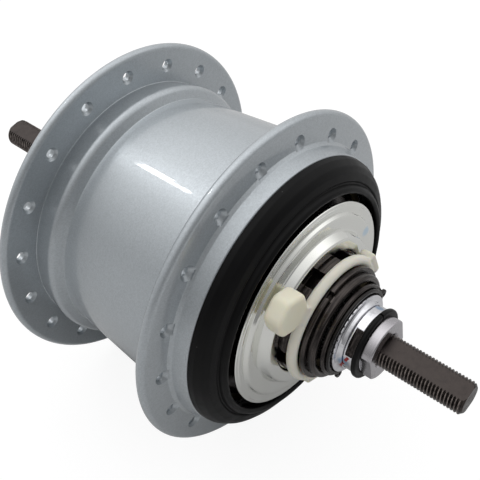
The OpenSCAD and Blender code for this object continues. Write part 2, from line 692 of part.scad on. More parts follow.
module driver_pawl_spring() color([0.7, 0.7, 0.72]) place() difference() {
    pawl_wire(nose_r, nose_s[0] + 1.25);
    raise([nose_s[0], nose_s[1]]) wedge(30, 95, 112);
}

module right_balls() color([0.8, 0.8, 0.82]) place()
    ball_ring(right_balls_n, right_circle_r, right_ball_r, right_race_s);
module right_ball_cage() color([0.7, 0.65, 0.5]) place()
    ball_cage(right_balls_n, right_circle_r, right_ball_r, right_race_s, 1,
              cone_shoulder_r + 0.2, driver_mouth_r - 0.2);
module main_ball_set() color([0.8, 0.8, 0.82]) place()
    ball_ring(main_balls, main_circle_r, main_ball_r, main_race_s);
module main_ball_cage() color([0.7, 0.65, 0.5]) place()
    ball_cage(main_balls, main_circle_r, main_ball_r, main_race_s, 1.6,
              driver_shoulder_r + 0.2, main_circle_r + 1.6);
module left_balls() color([0.8, 0.8, 0.82]) place()
    ball_ring(left_balls_n, left_circle_r, left_ball_r, left_race_s);
module left_ball_cage() color([0.7, 0.65, 0.5]) place() translate([0, 0, 2 * left_race_s]) mirror([0, 0, 1])
    ball_cage(left_balls_n, left_circle_r, left_ball_r, left_race_s, 1.6,
              left_cone_r + 0.3, left_circle_r + 1.8);

pin_r = pin_d / 2;
carrier_bore_r = sun_bore_r + 0.1;
left_plate_bore_r = core_r + 1.8;
// Metal left between a pin's end and the far face of the middle plate
pin_wall = 0.7;
module planet_carrier() color([0.5, 0.5, 0.52]) place() difference() {
    union() {
        bar(mid_plate_r, mid_plate_s);
        around(pillar_circle_r, phase_b + 60) bar(pillar_r, [left_plate_s[1], mid_plate_s[0] + 1]);
        around(pillar_circle_r, phase_a + 60) bar(pillar_r - 0.3, [mid_plate_s[1] - 1, right_plate_s[0]]);
    }
    bar(carrier_bore_r, [mid_plate_s[0] - 1, mid_plate_s[1] + 1]);
    around(centre_b, phase_b) bar(pin_r + seat_gap, [mid_plate_s[0] - 1, mid_plate_s[1] - pin_wall]);
    around(centre_a, phase_a) bar(pin_r + seat_gap, [mid_plate_s[0] + pin_wall, mid_plate_s[1] + 1]);
    around(pillar_circle_r, phase_b + 60)
        bar(screw_r + seat_gap, [left_plate_s[1] - 1, left_plate_s[1] + thread_reach + 1]);
    around(pillar_circle_r, phase_a + 60)
        bar(screw_r + seat_gap, [right_plate_s[0] - thread_reach - 1, right_plate_s[0] + 1]);
}

screw_r = 1.9;
head_r = 3.2;
thread_reach = 7;
module screw(s_head, s_tip) {
    low = min(s_head, s_tip);
    bar(screw_r, [low, max(s_head, s_tip)]);
    dir = s_tip > s_head ? 1 : -1;
    bar(head_r, dir > 0 ? [s_head, s_head + 1.2] : [s_head - 1.2, s_head]);
}
module screw_hole(s_head, s_tip) {
    dir = s_tip > s_head ? 1 : -1;
    bar(screw_r + seat_gap, [min(s_head, s_tip) - 1, max(s_head, s_tip) + 1]);
    bar(head_r + 0.1, dir > 0 ? [s_head - 1, s_head + 1.25] : [s_head - 1.25, s_head + 1]);
}

module carrier_plate_left() color([0.52, 0.52, 0.54]) place() difference() {
    bar(left_plate_r, [left_plate_s[0], left_plate_s[1] - 0.03]);
    bar(left_plate_bore_r, [left_plate_s[0] - 1, left_plate_s[1] + 1]);
    around(centre_b, phase_b) bar(pin_r + seat_gap, [left_plate_s[0] - 1, left_plate_s[1] + 1]);
    around(pillar_circle_r, phase_b + 60) screw_hole(left_plate_s[0], left_plate_s[1]);
    for (k = [0:3]) rotate(k * 90) raise([left_plate_s[0] - 1, left_plate_s[1] + 1])
        pawl_outline(left_plate_r, carrier_pawl_span, pawl_depth, 0.1);
    pawl_wire(left_plate_r, (left_plate_s[0] + left_plate_s[1]) / 2, 0.15);
}

module carrier_plate_right() color([0.52, 0.52, 0.54]) place() difference() {
    bar(right_plate_r, [right_plate_s[0] + 0.03, right_plate_s[1]]);
    raise([right_plate_s[0] - 1, right_plate_s[1] + 1]) polygon(ratchet_outline(20, nose_r + running_gap));
    around(centre_a, phase_a) bar(pin_r + seat_gap, [right_plate_s[0] - 1, right_plate_s[1] + 1]);
    around(pillar_circle_r, phase_a + 60) screw_hole(right_plate_s[1], right_plate_s[0]);
}

module planet_pins_a() color([0.75, 0.75, 0.77]) place() around(centre_a, phase_a)
    bar(pin_r, [mid_plate_s[0] + pin_wall + 0.1, right_plate_s[1]]);
module planet_pins_b() color([0.75, 0.75, 0.77]) place() around(centre_b, phase_b)
    bar(pin_r, [left_plate_s[0], mid_plate_s[1] - pin_wall - 0.1]);

module carrier_screws() color([0.3, 0.3, 0.32]) place() {
    around(pillar_circle_r, phase_b + 60) screw(left_plate_s[0], left_plate_s[1] + thread_reach);
    around(pillar_circle_r, phase_a + 60) screw(right_plate_s[1], right_plate_s[0] - thread_reach);
}

module carrier_pawls() color([0.5, 0.5, 0.52]) place()
    pawls(4, left_plate_r, [left_plate_s[0] + 0.05, left_plate_s[1] - 0.1], carrier_pawl_span);
module carrier_pawl_spring() color([0.7, 0.7, 0.72]) place() difference() {
    pawl_wire(left_plate_r, (left_plate_s[0] + left_plate_s[1]) / 2);
    raise(left_plate_s) wedge(60, 50, 56);
}

// Stepped planets; all three of a set keep one orientation, which meshes because the
// teeth of sun and step add up to a multiple of three
module planet_at(centre, phase, k) place() translate(polar(centre, phase + k * third)) children();

module planet_a() difference() {
    union() {
        gear(planet_a_small, [sun_1_s[0] - 0.2, ring_1_s[0]]);
        gear(planet_a_large, [ring_1_s[0] - 0.2, ring_1_s[1]]);
        bar(pin_r + 1.5, [mid_plate_s[1] + 0.1, right_plate_s[0] - 0.1]);
    }
    bar(pin_r + pin_gap, [mid_plate_s[0], right_plate_s[1]]);
}
module planet_b() difference() {
    union() {
        gear(planet_b_teeth[0], [planet_b_s[0], planet_b_s[1]]);
        gear(planet_b_teeth[1], [planet_b_s[1] - 0.1, planet_b_s[2]]);
        gear(planet_b_teeth[2], [planet_b_s[2] - 0.1, planet_b_s[3]]);
        bar(pin_r + 1.5, [left_plate_s[1] + 0.1, mid_plate_s[0] - 0.1]);
    }
    bar(pin_r + pin_gap, [left_plate_s[0], mid_plate_s[1]]);
}
module planet_a_1() color([0.66, 0.66, 0.68]) planet_at(centre_a, phase_a, 0) planet_a();
module planet_a_2() color([0.66, 0.66, 0.68]) planet_at(centre_a, phase_a, 1) planet_a();
module planet_a_3() color([0.66, 0.66, 0.68]) planet_at(centre_a, phase_a, 2) planet_a();
module planet_b_1() color([0.66, 0.66, 0.68]) planet_at(centre_b, phase_b, 0) planet_b();
module planet_b_2() color([0.66, 0.66, 0.68]) planet_at(centre_b, phase_b, 1) planet_b();
module planet_b_3() color([0.66, 0.66, 0.68]) planet_at(centre_b, phase_b, 2) planet_b();

// Loose sun gear, its bore notched for the pawl that stops it
module loose_sun(i) place() difference() {
    gear(sun_b_teeth[i], [sun_b_mid[i] - sun_w / 2, sun_b_mid[i] + sun_w / 2],
         sun_turn(sun_b_teeth[i], planet_b_teeth[i], phase_b));
    raise([sun_b_mid[i] - sun_w, sun_b_mid[i] + sun_w]) {
        circle(sun_bore_r);
        for (k = [0:5]) rotate(k * 60) translate([sun_bore_r - 1, -0.9]) square([1.65, 1.8]);
    }
}
module sun_gear_2() color([0.6, 0.6, 0.62]) loose_sun(0);
module sun_gear_3() color([0.6, 0.6, 0.62]) loose_sun(1);
module sun_gear_4() color([0.6, 0.6, 0.62]) loose_sun(2);

// Outside of the second ring gear: one ramp under each roller
function cam_outline() = [for (k = [0:roller_count - 1], p = [[0.3, 0], [0.55, 0.15], [0.85, 1], [1.15, 1]])
    polar(cam_low_r + p[1] * (cam_high_r - cam_low_r), (k + p[0]) * 360 / roller_count)];
module ring_gear_2() color([0.55, 0.55, 0.57]) place() difference() {
    raise(ring_2_s) polygon(cam_outline());
    ring_space(ring_2_teeth, [ring_2_s[0] - 1, ring_2_teeth_s[1]],
               ring_turn(ring_2_teeth, planet_b_teeth[1], phase_b));
    bar(ring_2_plain_r, [ring_2_teeth_s[1] - 0.05, ring_2_s[1] + 1]);
}

roller_mid = 0.425;
module rollers(grow) for (k = [0:roller_count - 1]) rotate((k + roller_mid) * 360 / roller_count)
    translate([roller_circle_r, 0, 0]) bar(roller_d / 2 + grow, [roller_s[0] - grow, roller_s[1] + grow]);
module clutch_rollers() color([0.8, 0.8, 0.82]) place() rollers(0);
module roller_cage() color([0.6, 0.55, 0.42]) place() difference() {
    ring(clutch_in_r - 0.3, cam_high_r + 0.2, [roller_s[0] - 1.6, roller_s[1] + 1.4]);
    rollers(0.12);
}

// Hub shell
function shell_outside() = let (rim = flange_t / 2, right = flange_right, left = -flange_left,
    shoulder_end = left + rim + shoulder_w, barrel_r = cavity_r + barrel_wall_right,
    narrow_r = cavity_r + barrel_wall_left, shoulder_r = cavity_r + shoulder_wall) concat(
    [[collar_r - 0.5, collar_end], [collar_r, collar_end - 0.5], [collar_r, right + rim + 1]],
    arc([collar_r + 1, right + rim + 1], 1, 180, 270, 3),
    arc([flange_r - rim, right], rim, 90, -90, 8),
    [[barrel_r + 3, right - rim]],
    arc([barrel_r + 3, right - rim - 3], 3, 90, 180, 4),
    [[narrow_r, shoulder_end + 0.2]],
    [[narrow_r - 0.15, shoulder_end], [narrow_r + 0.4, shoulder_end - 0.4]],
    arc([shoulder_r - 2.6, shoulder_end - 4.2], 2.6, 40, 0, 4),
    arc([shoulder_r + 3, left + rim + 3], 3, 180, 270, 5),
    arc([flange_r - rim, left], rim, 90, -90, 8),
    arc([collar_r + 1, left - rim - 1], 1, 90, 180, 3),
    [[collar_r, left - 4.6], [collar_r - 1.5, left - 5.6], [spline_d / 2 + 2, left_wall_out],
     [spline_d / 2 - spline_h, left_wall_out], [spline_d / 2 - spline_h, boss_end + 0.4],
     [spline_d / 2 - spline_h - 0.4, boss_end]]);
boss_end = left_wall_out - 7;
cup_bore_r = left_circle_r + left_ball_r + 1.4;
left_mouth_r = 22;
spline_w = 2.6;

module hub_shell() color([0.72, 0.75, 0.79]) place() difference() {
    union() {
        spin(concat(shell_outside(), [[0, boss_end], [0, collar_end]]));
        for (k = [0:spline_count - 1]) rotate(k * 360 / spline_count)
            raise([boss_end + 0.6, left_wall_out + 0.5])
                translate([spline_d / 2 - spline_h - 1, -spline_w / 2]) square([spline_h + 1, spline_w]);
    }
    bar(cavity_r, [left_wall_in, main_race_s - 4]);
    bar(main_cup_r + seat_gap, [main_race_s - 4.05, collar_end + 1]);
    bar(cup_bore_r + seat_gap, [boss_end, left_wall_in + 1]);
    bar(left_mouth_r, [boss_end - 1, left_race_s - left_ball_r - 1]);
    for (side = [0, 1], k = [0:spoke_count - 1])
        rotate(shell_turn + (k + side / 2) * 360 / spoke_count)
            translate([flange_r - spoke_edge, 0, side == 0 ? flange_right : -flange_left]) spoke_hole();
}

// Hole through a flange, countersunk from both faces
module spoke_hole() {
    sink = (countersink_d - spoke_hole_d) / 2;
    bar(spoke_hole_d / 2, [-flange_t, flange_t]);
    for (m = [0, 1]) mirror([0, 0, m]) translate([0, 0, flange_t / 2 - sink])
        cylinder(r1 = spoke_hole_d / 2, r2 = countersink_d / 2 + 0.5, h = sink + 0.5, $fn = 32);
}

module clutch_sleeve() color([0.62, 0.62, 0.64]) place() ring(cavity_r - seat_gap, clutch_in_r, clutch_s);

module shell_ratchet() color([0.58, 0.58, 0.6]) place() difference() {
    bar(cavity_r - seat_gap, shell_ratchet_s);
    raise([shell_ratchet_s[0] - 1, shell_ratchet_s[1] + 1]) polygon(ratchet_outline(36, ratchet_ring_r));
}

module main_ball_cup() color([0.66, 0.66, 0.68]) place() difference() {
    mouth_r = main_circle_r + main_ball_r - 0.6;
    spin([[main_circle_r - 0.8, main_race_s - 4], [main_cup_r, main_race_s - 4],
          [main_cup_r, main_race_s + 3.4], [mouth_r, main_race_s + 3.4], [mouth_r, main_race_s],
          [main_circle_r - 0.8, main_race_s]]);
    race(main_circle_r, main_ball_r, main_race_s);
}

module left_ball_cup() color([0.66, 0.66, 0.68]) place() difference() {
    mouth_r = left_circle_r + left_ball_r - 0.5;
    spin([[left_circle_r - 0.6, left_race_s + 4], [cup_bore_r, left_race_s + 4],
          [cup_bore_r, left_race_s - 3.6], [mouth_r, left_race_s - 3.6], [mouth_r, left_race_s],
          [left_circle_r - 0.6, left_race_s]]);
    race(left_circle_r, left_ball_r, left_race_s);
}

module left_dust_cap() color([0.12, 0.12, 0.12]) place() {
    s = left_race_s - left_ball_r - 2.2;
    ring(left_mouth_r - seat_gap, left_cone_r + running_gap, [s - 1, s]);
    ring(left_mouth_r - seat_gap, left_mouth_r - 1.2, [s - 1, left_race_s - left_ball_r - 1.05]);
}

// Rubber seal: a wide sloping face, a groove and a rounded lip
module shell_seal() color([0.07, 0.07, 0.08]) place() {
    lip = cap_r + lip_gap;
    s = collar_end;
    spin(concat([[main_cup_r - 0.6, s + 0.03], [collar_r - 0.06, s + 0.03], [collar_r - 0.3, s + 1.5],
         [collar_r - 1.2, s + 3.1], [collar_r - 2.6, s + 4.2], [lip + 2.9, s + 5.4], [lip + 2.2, s + 5.3],
         [lip + 1.6, s + 5.5], [lip + 1.1, s + 6.2]],
         arc([lip - 0.1, s + 6], 0.9, 40, 180, 6),
         [[lip - 1, s + 4.6], [lip + 1.6, s + 3], [main_cup_r - 0.6, s + 1.6]]));
    ring(main_cup_r - 0.1, main_cup_r - 1.4, [main_race_s + 3.45, s + 0.5]);
}

axle();
sun_gear_1();
right_cone();
toothed_washer();
stop_ring();
right_o_ring();
right_locknut();
left_cone();
left_washer();
left_spacer();
left_locknut();
sun_pawls();
cam_sleeve();
shift_plate();
shift_clip();
return_spring();
driver();
driver_snap_ring();
dust_cap();
transport_ring();
ring_gear_1();
driver_pawls();
driver_pawl_spring();
right_balls();
right_ball_cage();
main_ball_set();
main_ball_cage();
left_balls();
left_ball_cage();
planet_carrier();
carrier_plate_left();
carrier_plate_right();
planet_pins_a();
planet_pins_b();
carrier_screws();
carrier_pawls();
carrier_pawl_spring();
planet_a_1();
planet_a_2();
planet_a_3();
planet_b_1();
planet_b_2();
planet_b_3();
sun_gear_2();
sun_gear_3();
sun_gear_4();
ring_gear_2();
clutch_rollers();
roller_cage();
hub_shell();
clutch_sleeve();
shell_ratchet();
main_ball_cup();
left_ball_cup();
left_dust_cap();
shell_seal();
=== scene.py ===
import json
import math

import bmesh
import bpy
import numpy as np
from mathutils import Matrix, Quaternion, Vector


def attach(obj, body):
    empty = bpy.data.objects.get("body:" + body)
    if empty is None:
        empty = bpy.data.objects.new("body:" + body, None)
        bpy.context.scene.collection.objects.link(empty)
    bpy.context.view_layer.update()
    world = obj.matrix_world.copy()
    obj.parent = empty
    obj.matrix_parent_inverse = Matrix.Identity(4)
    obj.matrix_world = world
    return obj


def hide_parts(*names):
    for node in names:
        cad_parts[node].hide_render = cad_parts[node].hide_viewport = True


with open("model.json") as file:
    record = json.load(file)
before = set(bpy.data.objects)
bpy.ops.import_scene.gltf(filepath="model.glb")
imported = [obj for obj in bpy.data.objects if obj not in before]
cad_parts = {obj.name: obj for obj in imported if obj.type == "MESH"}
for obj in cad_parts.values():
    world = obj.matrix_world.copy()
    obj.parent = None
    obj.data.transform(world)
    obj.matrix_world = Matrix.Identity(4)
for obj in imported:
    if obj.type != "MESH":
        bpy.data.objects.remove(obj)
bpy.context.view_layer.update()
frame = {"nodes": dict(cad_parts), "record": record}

# Lengths are in millimetres and angles in degrees, unless a name or a comment says otherwise.
# A place along the axle, s, grows from the origin towards the drive side: s = -y.
# A turn about the axle starts at +X and grows towards +Z.
MM = 0.001
SHARP = 32                          # edges sharper than this angle are shaded sharp
MERGE, CUT_MERGE = 1e-7, 2e-6       # metres within which points become one

# Of each flange: the places of its faces at the holes, and the turn of its first hole
FLANGES = {"right": (23.3, 27.0, -0.8), "left": (-31.7, -28.7, 9.2)}
SPOKES, SPOKE_CIRCLE = 18, 46.3
HOLE_R, COUNTERSINK_R = 1.3, 2.1
SPLINES = 24
AXLE_TURN = 14.5                    # turn of the axle's flats
NUT_R, NUT_FLAT = 8.9, 7.6

# Ends of the two marker strokes on the stop ring, as world points
RED_STROKES = (((-9.35, -57.7, -4.2), (-9.6, -58.65, -1.8)),
               ((-9.65, -59.15, -0.7), (-9.6, -60.0, 1.2)))


# Outlines

def rounded(corners, radius=0.2, step=14):
    """A closed outline with arcs at its corners, drawn with a point for about each step of turn.

    A corner is a pair of lengths, and may have an arc radius of its own third.
    """
    nearly_straight = math.radians(176)
    out = []
    for i, corner in enumerate(corners):
        p = Vector(corner[:2])
        arc_radius = corner[2] if len(corner) > 2 else radius
        u = Vector(corners[i - 1][:2]) - p
        v = Vector(corners[(i + 1) % len(corners)][:2]) - p
        angle = u.angle(v)
        if arc_radius <= 0 or angle > nearly_straight:
            out.append(tuple(p))
            continue
        used = min(arc_radius / math.tan(angle / 2), u.length / 2, v.length / 2)
        actual = used * math.tan(angle / 2)
        u.normalize()
        v.normalize()
        middle = p + (u + v).normalized() * (actual / math.sin(angle / 2))
        start, end = p + u * used - middle, p + v * used - middle
        sweep = math.pi - angle
        steps = max(1, round(math.degrees(sweep) / step))
        for k in range(steps + 1):
            w = k / steps
            blend = start * math.sin((1 - w) * sweep) + end * math.sin(w * sweep)
            out.append(tuple(middle + blend / math.sin(sweep)))
    return out


def at_turn(r, turn):
    """The point at a distance from the axis and a turn about it."""
    a = math.radians(turn)
    return r * math.cos(a), r * math.sin(a)


def circle(x, z, r, step):
    """Points round a circle, one for each step of turn."""
    return [(x + r * math.cos(a), z + r * math.sin(a)) for a in np.radians(np.arange(0, 360, step))]


def box_outline(x0, x1, z0, z1):
    """Outline of a rectangle."""
    return [(x0, z0), (x1, z0), (x1, z1), (x0, z1)]


def wedge_outline(outer, inner, start, end):
    """Outline of a piece of a flat ring, from one turn to another."""
    turns = np.linspace(start, end, 25)
    return [at_turn(outer, turn) for turn in turns] + [at_turn(inner, turn) for turn in turns[::-1]]


# Meshes

def new_object(name, verts, faces, smooth_angle=SHARP):
    """A mesh object from vertices in metres and faces, its normals turned out."""
    mesh = bpy.data.meshes.new(name)
    mesh.from_pydata([tuple(v) for v in verts], [], faces)
    obj = bpy.data.objects.new(name, mesh)
    bpy.context.scene.collection.objects.link(obj)
    clean(obj, smooth_angle)
    return obj


def clean(obj, smooth_angle=SHARP, merge=MERGE):
    """Merges doubled points, turns the normals out and shades smooth up to an angle."""
    bm = bmesh.new()
    bm.from_mesh(obj.data)
    bmesh.ops.remove_doubles(bm, verts=bm.verts, dist=merge)
    bmesh.ops.dissolve_degenerate(bm, edges=bm.edges, dist=merge)
    bmesh.ops.recalc_face_normals(bm, faces=bm.faces)
    bm.to_mesh(obj.data)
    bm.free()
    obj.data.shade_smooth()
    obj.data.set_sharp_from_angle(angle=math.radians(smooth_angle))


def lathe(name, outline, segments, start=0.0, end=360.0, origin=(0.0, 0.0)):
    """Turns a closed outline of (radius, place) points about the axle or a line beside it."""
    whole = abs(end - start) > 359.9
    angles = np.radians(np.linspace(start, end, segments + 1))
    if whole:
        angles = angles[:-1]
    columns = len(angles)
    verts = [((origin[0] + r * math.cos(a)) * MM, -s * MM, (origin[1] + r * math.sin(a)) * MM)
             for r, s in outline for a in angles]
    faces = []
    count = len(outline)
    for i in range(count):
        j = (i + 1) % count
        if outline[i][0] < 1e-6 and outline[j][0] < 1e-6:
            continue
        for k in range(columns if whole else columns - 1):
            m = (k + 1) % columns
            faces.append((i * columns + k, i * columns + m, j * columns + m, j * columns + k))
    if not whole:
        faces.append(tuple(i * columns for i in range(count)))
        faces.append(tuple(i * columns + columns - 1 for i in reversed(range(count))))
    return new_object(name, verts, faces)


def prism(name, outline, low, high, turn=0.0):
    """Turns a flat outline of (x, z) points about the axle and raises it between two places."""
    a = math.radians(turn)
    cos, sin = math.cos(a), math.sin(a)
    ring = [(x * cos - z * sin, x * sin + z * cos) for x, z in outline]
    n = len(ring)
    verts = [(x * MM, -s * MM, z * MM) for s in (low, high) for x, z in ring]
    faces = [tuple(range(n)), tuple(range(2 * n - 1, n - 1, -1))]
    faces += [(i, (i + 1) % n, n + (i + 1) % n, n + i) for i in range(n)]
    return new_object(name, verts, faces)


def shape(obj, kind, **settings):
    """Applies one modifier to an object's mesh."""
    modifier = obj.modifiers.new(kind, kind)
    for key, value in settings.items():
        setattr(modifier, key, value)
    bpy.context.view_layer.update()
    graph = bpy.context.evaluated_depsgraph_get()
    mesh = bpy.data.meshes.new_from_object(
        obj.evaluated_get(graph), preserve_all_data_layers=True, depsgraph=graph)
    obj.modifiers.clear()
    old = obj.data
    obj.data = mesh
    bpy.data.meshes.remove(old)
    return obj


def bevel(obj, width, segments=2):
    """Rounds an object's sharp edges."""
    return shape(obj, "BEVEL", width=width * MM, segments=segments, limit_method="ANGLE",
                 angle_limit=math.radians(35), use_clamp_overlap=True)


def drop(obj):
    """Removes an object and its mesh."""
    mesh = obj.data
    bpy.data.objects.remove(obj)
    if not mesh.users:
        bpy.data.meshes.remove(mesh)


def join(name, objects):
    """One object from several, their meshes side by side."""
    bm = bmesh.new()
    for obj in objects:
        bm.from_mesh(obj.data)
    mesh = bpy.data.meshes.new(name)
    bm.to_mesh(mesh)
    bm.free()
    joined = bpy.data.objects.new(name, mesh)
    bpy.context.scene.collection.objects.link(joined)
    for obj in objects:
        drop(obj)
    return joined


def combine(obj, other, operation, smooth_angle=SHARP):
    """Cuts a tool away from an object, or adds it, and uses the tool up."""
    shape(obj, "BOOLEAN", object=other, operation=operation, solver="EXACT",
          material_mode="TRANSFER")
    drop(other)
    clean(obj, smooth_angle, CUT_MERGE)
    return obj


def dress(obj, material):
    """Gives a whole object one material."""
    obj.data.materials.clear()
    obj.data.materials.append(material)
    obj.data.polygons.foreach_set("material_index", [0] * len(obj.data.polygons))
    return obj


def stands_for(obj, body, slot, *nodes):
    """Finishes a piece: its body, its material slot and the CAD nodes that it replaces."""
    shape(obj, "WEIGHTED_NORMAL", keep_sharp=True, mode="FACE_AREA", weight=50)
    if not any(obj.data.materials):
        dress(obj, LOOKS[slot])
    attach(obj, body)
    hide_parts(*nodes)
    return obj


# Materials

class Surface:
    """A node material round one Principled shader, in the object's own coordinates."""

    def __init__(self, name, **sockets):
        self.material = bpy.data.materials.new(name)
        self.material.use_nodes = True
        self.tree = self.material.node_tree
        self.shader = self.tree.nodes["Principled BSDF"]
        self.coordinates = self.add("ShaderNodeTexCoord").outputs["Object"]
        for key, value in sockets.items():
            socket = key.replace("_", " ").title().replace("Ior", "IOR")
            self.shader.inputs[socket].default_value = value

    def add(self, kind, inputs=None, **settings):
        """A new node; its inputs are numbers, colours or other nodes' outputs."""
        node = self.tree.nodes.new(kind)
        for key, value in settings.items():
            setattr(node, key, value)
        for key, value in (inputs or {}).items():
            self.feed(node.inputs[key], value)
        return node

    def feed(self, socket, value):
        """Links a socket to another node's output, or sets its value."""
        if isinstance(value, bpy.types.NodeSocket):
            self.tree.links.new(value, socket)
        elif isinstance(value, tuple) and len(value) == 3 and socket.type == "RGBA":
            socket.default_value = (*value, 1)
        else:
            socket.default_value = value

    def set(self, name, value):
        """Feeds an input of the shader."""
        self.feed(self.shader.inputs[name], value)

    def math(self, operation, a, b=0.0, clamp=False):
        node = self.add("ShaderNodeMath", {0: a, 1: b}, operation=operation, use_clamp=clamp)
        return node.outputs[0]

    def vector_math(self, operation, a, b=(0.0, 0.0, 0.0)):
        node = self.add("ShaderNodeVectorMath", {0: a, 1: b}, operation=operation)
        return node.outputs["Vector" if operation == "SUBTRACT" else "Value"]

    def split(self):
        """The three coordinates."""
        node = self.add("ShaderNodeSeparateXYZ", {0: self.coordinates})
        return node.outputs["X"], node.outputs["Y"], node.outputs["Z"]

    def radius(self):
        """Distance from the axis, in metres."""
        x, _, z = self.split()
        square = self.math("ADD", self.math("MULTIPLY", x, x), self.math("MULTIPLY", z, z))
        return self.math("SQRT", square)

    def turn(self):
        """Turn about the axle, in radians."""
        x, _, z = self.split()
        return self.math("ARCTAN2", z, x)

    def noise(self, size, detail=3.0, vector=None, stretch=None):
        """Noise between 0 and 1, with features of about that size in millimetres."""
        vector = vector or self.coordinates
        if stretch:
            mapping = self.add("ShaderNodeMapping", {"Vector": vector, "Scale": stretch})
            vector = mapping.outputs[0]
        node = self.add("ShaderNodeTexNoise", {
            "Vector": vector, "Scale": 1 / (size * MM), "Detail": detail, "Roughness": 0.55})
        return node.outputs["Fac"]

    def voronoi(self, size):
        """Cells of about that size in millimetres."""
        return self.add("ShaderNodeTexVoronoi",
                        {"Vector": self.coordinates, "Scale": 1 / (size * MM)})

    def cells(self, size):
        """A random grey for each cell of about that size in millimetres."""
        colour = self.voronoi(size).outputs["Color"]
        return self.add("ShaderNodeSeparateColor", {0: colour}).outputs[0]

    def dots(self, apart, core, rim, strength=1.0):
        """Dots about that many millimetres apart, fading between two shares of the distance."""
        return self.span(self.voronoi(apart).outputs["Distance"], core, rim, strength, 0.0)

    def ring_vector(self, around):
        """Coordinates in which a feature runs as a ring round the axle."""
        return self.add("ShaderNodeCombineXYZ", {
            "X": self.radius(), "Y": self.split()[1],
            "Z": self.math("MULTIPLY", self.turn(), around * MM)}).outputs[0]

    def span(self, value, low, high, to_low=0.0, to_high=1.0, smooth=False):
        """Maps one range of values onto another and holds it at the ends."""
        node = self.add("ShaderNodeMapRange", {
            "Value": value, "From Min": low, "From Max": high, "To Min": to_low, "To Max": to_high},
            interpolation_type="SMOOTHSTEP" if smooth else "LINEAR")
        return node.outputs[0]

    def mix(self, factor, a, b):
        """Mixes two colours."""
        node = self.add("ShaderNodeMix", data_type="RGBA")
        for key, value in (("Factor", factor), ("A", a), ("B", b)):
            self.feed(node.inputs[key], value)
        return node.outputs["Result"]

    def bump(self, height, depth, under=None):
        """Bump of that depth in millimetres, over an earlier one if given."""
        node = self.add("ShaderNodeBump", {
            "Height": height, "Strength": 1.0, "Distance": depth * MM})
        if under:
            self.feed(node.inputs["Normal"], under)
        return node.outputs[0]

    def spot(self, place, radius):
        """A soft spot round a world point, both in millimetres."""
        away = self.vector_math("DISTANCE", self.coordinates, tuple(c * MM for c in place))
        return self.span(away, 0.4 * radius * MM, radius * MM, 1.0, 0.0, smooth=True)

    def stroke(self, start, end, width):
        """A pen stroke from one world point to another, all in millimetres."""
        start, end = Vector(start) * MM, Vector(end) * MM
        away = self.vector_math("SUBTRACT", self.coordinates, tuple((start + end) / 2))
        line = self.vector_math("DOT_PRODUCT", away, tuple((end - start).normalized()))
        distance = self.vector_math("LENGTH", away)
        beside = self.math("SUBTRACT", self.math("MULTIPLY", distance, distance),
                           self.math("MULTIPLY", line, line))
        along = self.math("LESS_THAN", self.math("ABSOLUTE", line), (end - start).length / 2)
        return self.math("MULTIPLY", along,
                         self.math("LESS_THAN", beside, (width * MM / 2) ** 2))

    def edges(self, radius, gain):
        """A mask, 1 on edges sharper than the radius in millimetres."""
        soft = self.add("ShaderNodeBevel", {"Radius": radius * MM}, samples=4).outputs[0]
        true = self.add("ShaderNodeNewGeometry").outputs["Normal"]
        same = self.vector_math("DOT_PRODUCT", soft, true)
        return self.math("MULTIPLY", self.math("SUBTRACT", 1.0, same), gain, clamp=True)


def paint():
    """Silver-grey metallic lacquer: fine flakes and a slight orange peel under a clear coat."""
    m = Surface("silver_paint", metallic=0.75, coat_weight=0.9, coat_roughness=0.04, coat_ior=1.5)
    colour = m.mix(m.cells(0.30), (0.43, 0.463, 0.489), (0.51, 0.549, 0.580))
    cloud = m.noise(9.0, detail=2.0)
    colour = m.mix(m.span(cloud, 0.35, 0.65, 0.0, 0.2), colour, (0.50, 0.545, 0.57))
    m.set("Base Color", m.mix(m.dots(26, 0.005, 0.009), colour, (0.09, 0.09, 0.09)))
    m.set("Roughness", m.span(m.cells(0.35), 0.0, 1.0, 0.34, 0.44))
    peel = m.bump(m.noise(2.2, detail=1.0), 0.002)
    m.set("Normal", m.bump(m.cells(0.30), 0.0012, under=peel))
    return m.material


def bare_metal():
    """Freshly cut aluminium of the spoke holes' countersinks."""
    m = Surface("bare_countersink", metallic=1.0)
    m.set("Base Color", m.mix(m.noise(0.4), (0.80, 0.81, 0.82), (0.92, 0.93, 0.94)))
    m.set("Roughness", m.span(m.noise(0.25), 0.3, 0.7, 0.18, 0.34))
    return m.material


def rubber():
    """Moulded rubber with a fine grain and a little dust."""
    m = Surface("black_rubber", specular_ior_level=0.15)
    patch = m.noise(5.0, detail=3.0)
    tone = m.mix(patch, (0.0022, 0.0022, 0.0025), (0.00352, 0.00352, 0.0040))
    m.set("Base Color", m.mix(m.dots(4.5, 0.022, 0.036, 0.25), tone, (0.30, 0.30, 0.30)))
    m.set("Roughness", m.span(patch, 0.3, 0.7, 0.35, 0.47))
    m.set("Normal", m.bump(m.noise(0.22, detail=4.0), 0.012))
    return m.material


def zinc():
    """Bright zinc with a faint warm tint, a small blue bloom and fine ring scratches."""
    m = Surface("zinc_plate", metallic=1.0)
    tint = m.mix(m.noise(9.0, detail=2.0), (0.84, 0.84, 0.79), (0.86, 0.87, 0.85))
    colour = m.mix(m.spot((24.4, -41.1, 12.2), 2.3), tint, (0.60, 0.73, 0.84))
    rings = m.noise(0.35, detail=2.0, vector=m.ring_vector(0.6))
    scratch = m.span(rings, 0.55, 0.85, 0.0, 0.05)
    m.set("Base Color", m.mix(scratch, colour, (0.70, 0.72, 0.70)))
    m.set("Roughness", m.span(m.noise(6.0, detail=1.0), 0.3, 0.7, 0.10, 0.15))
    m.set("Normal", m.bump(rings, 0.0003))
    return m.material


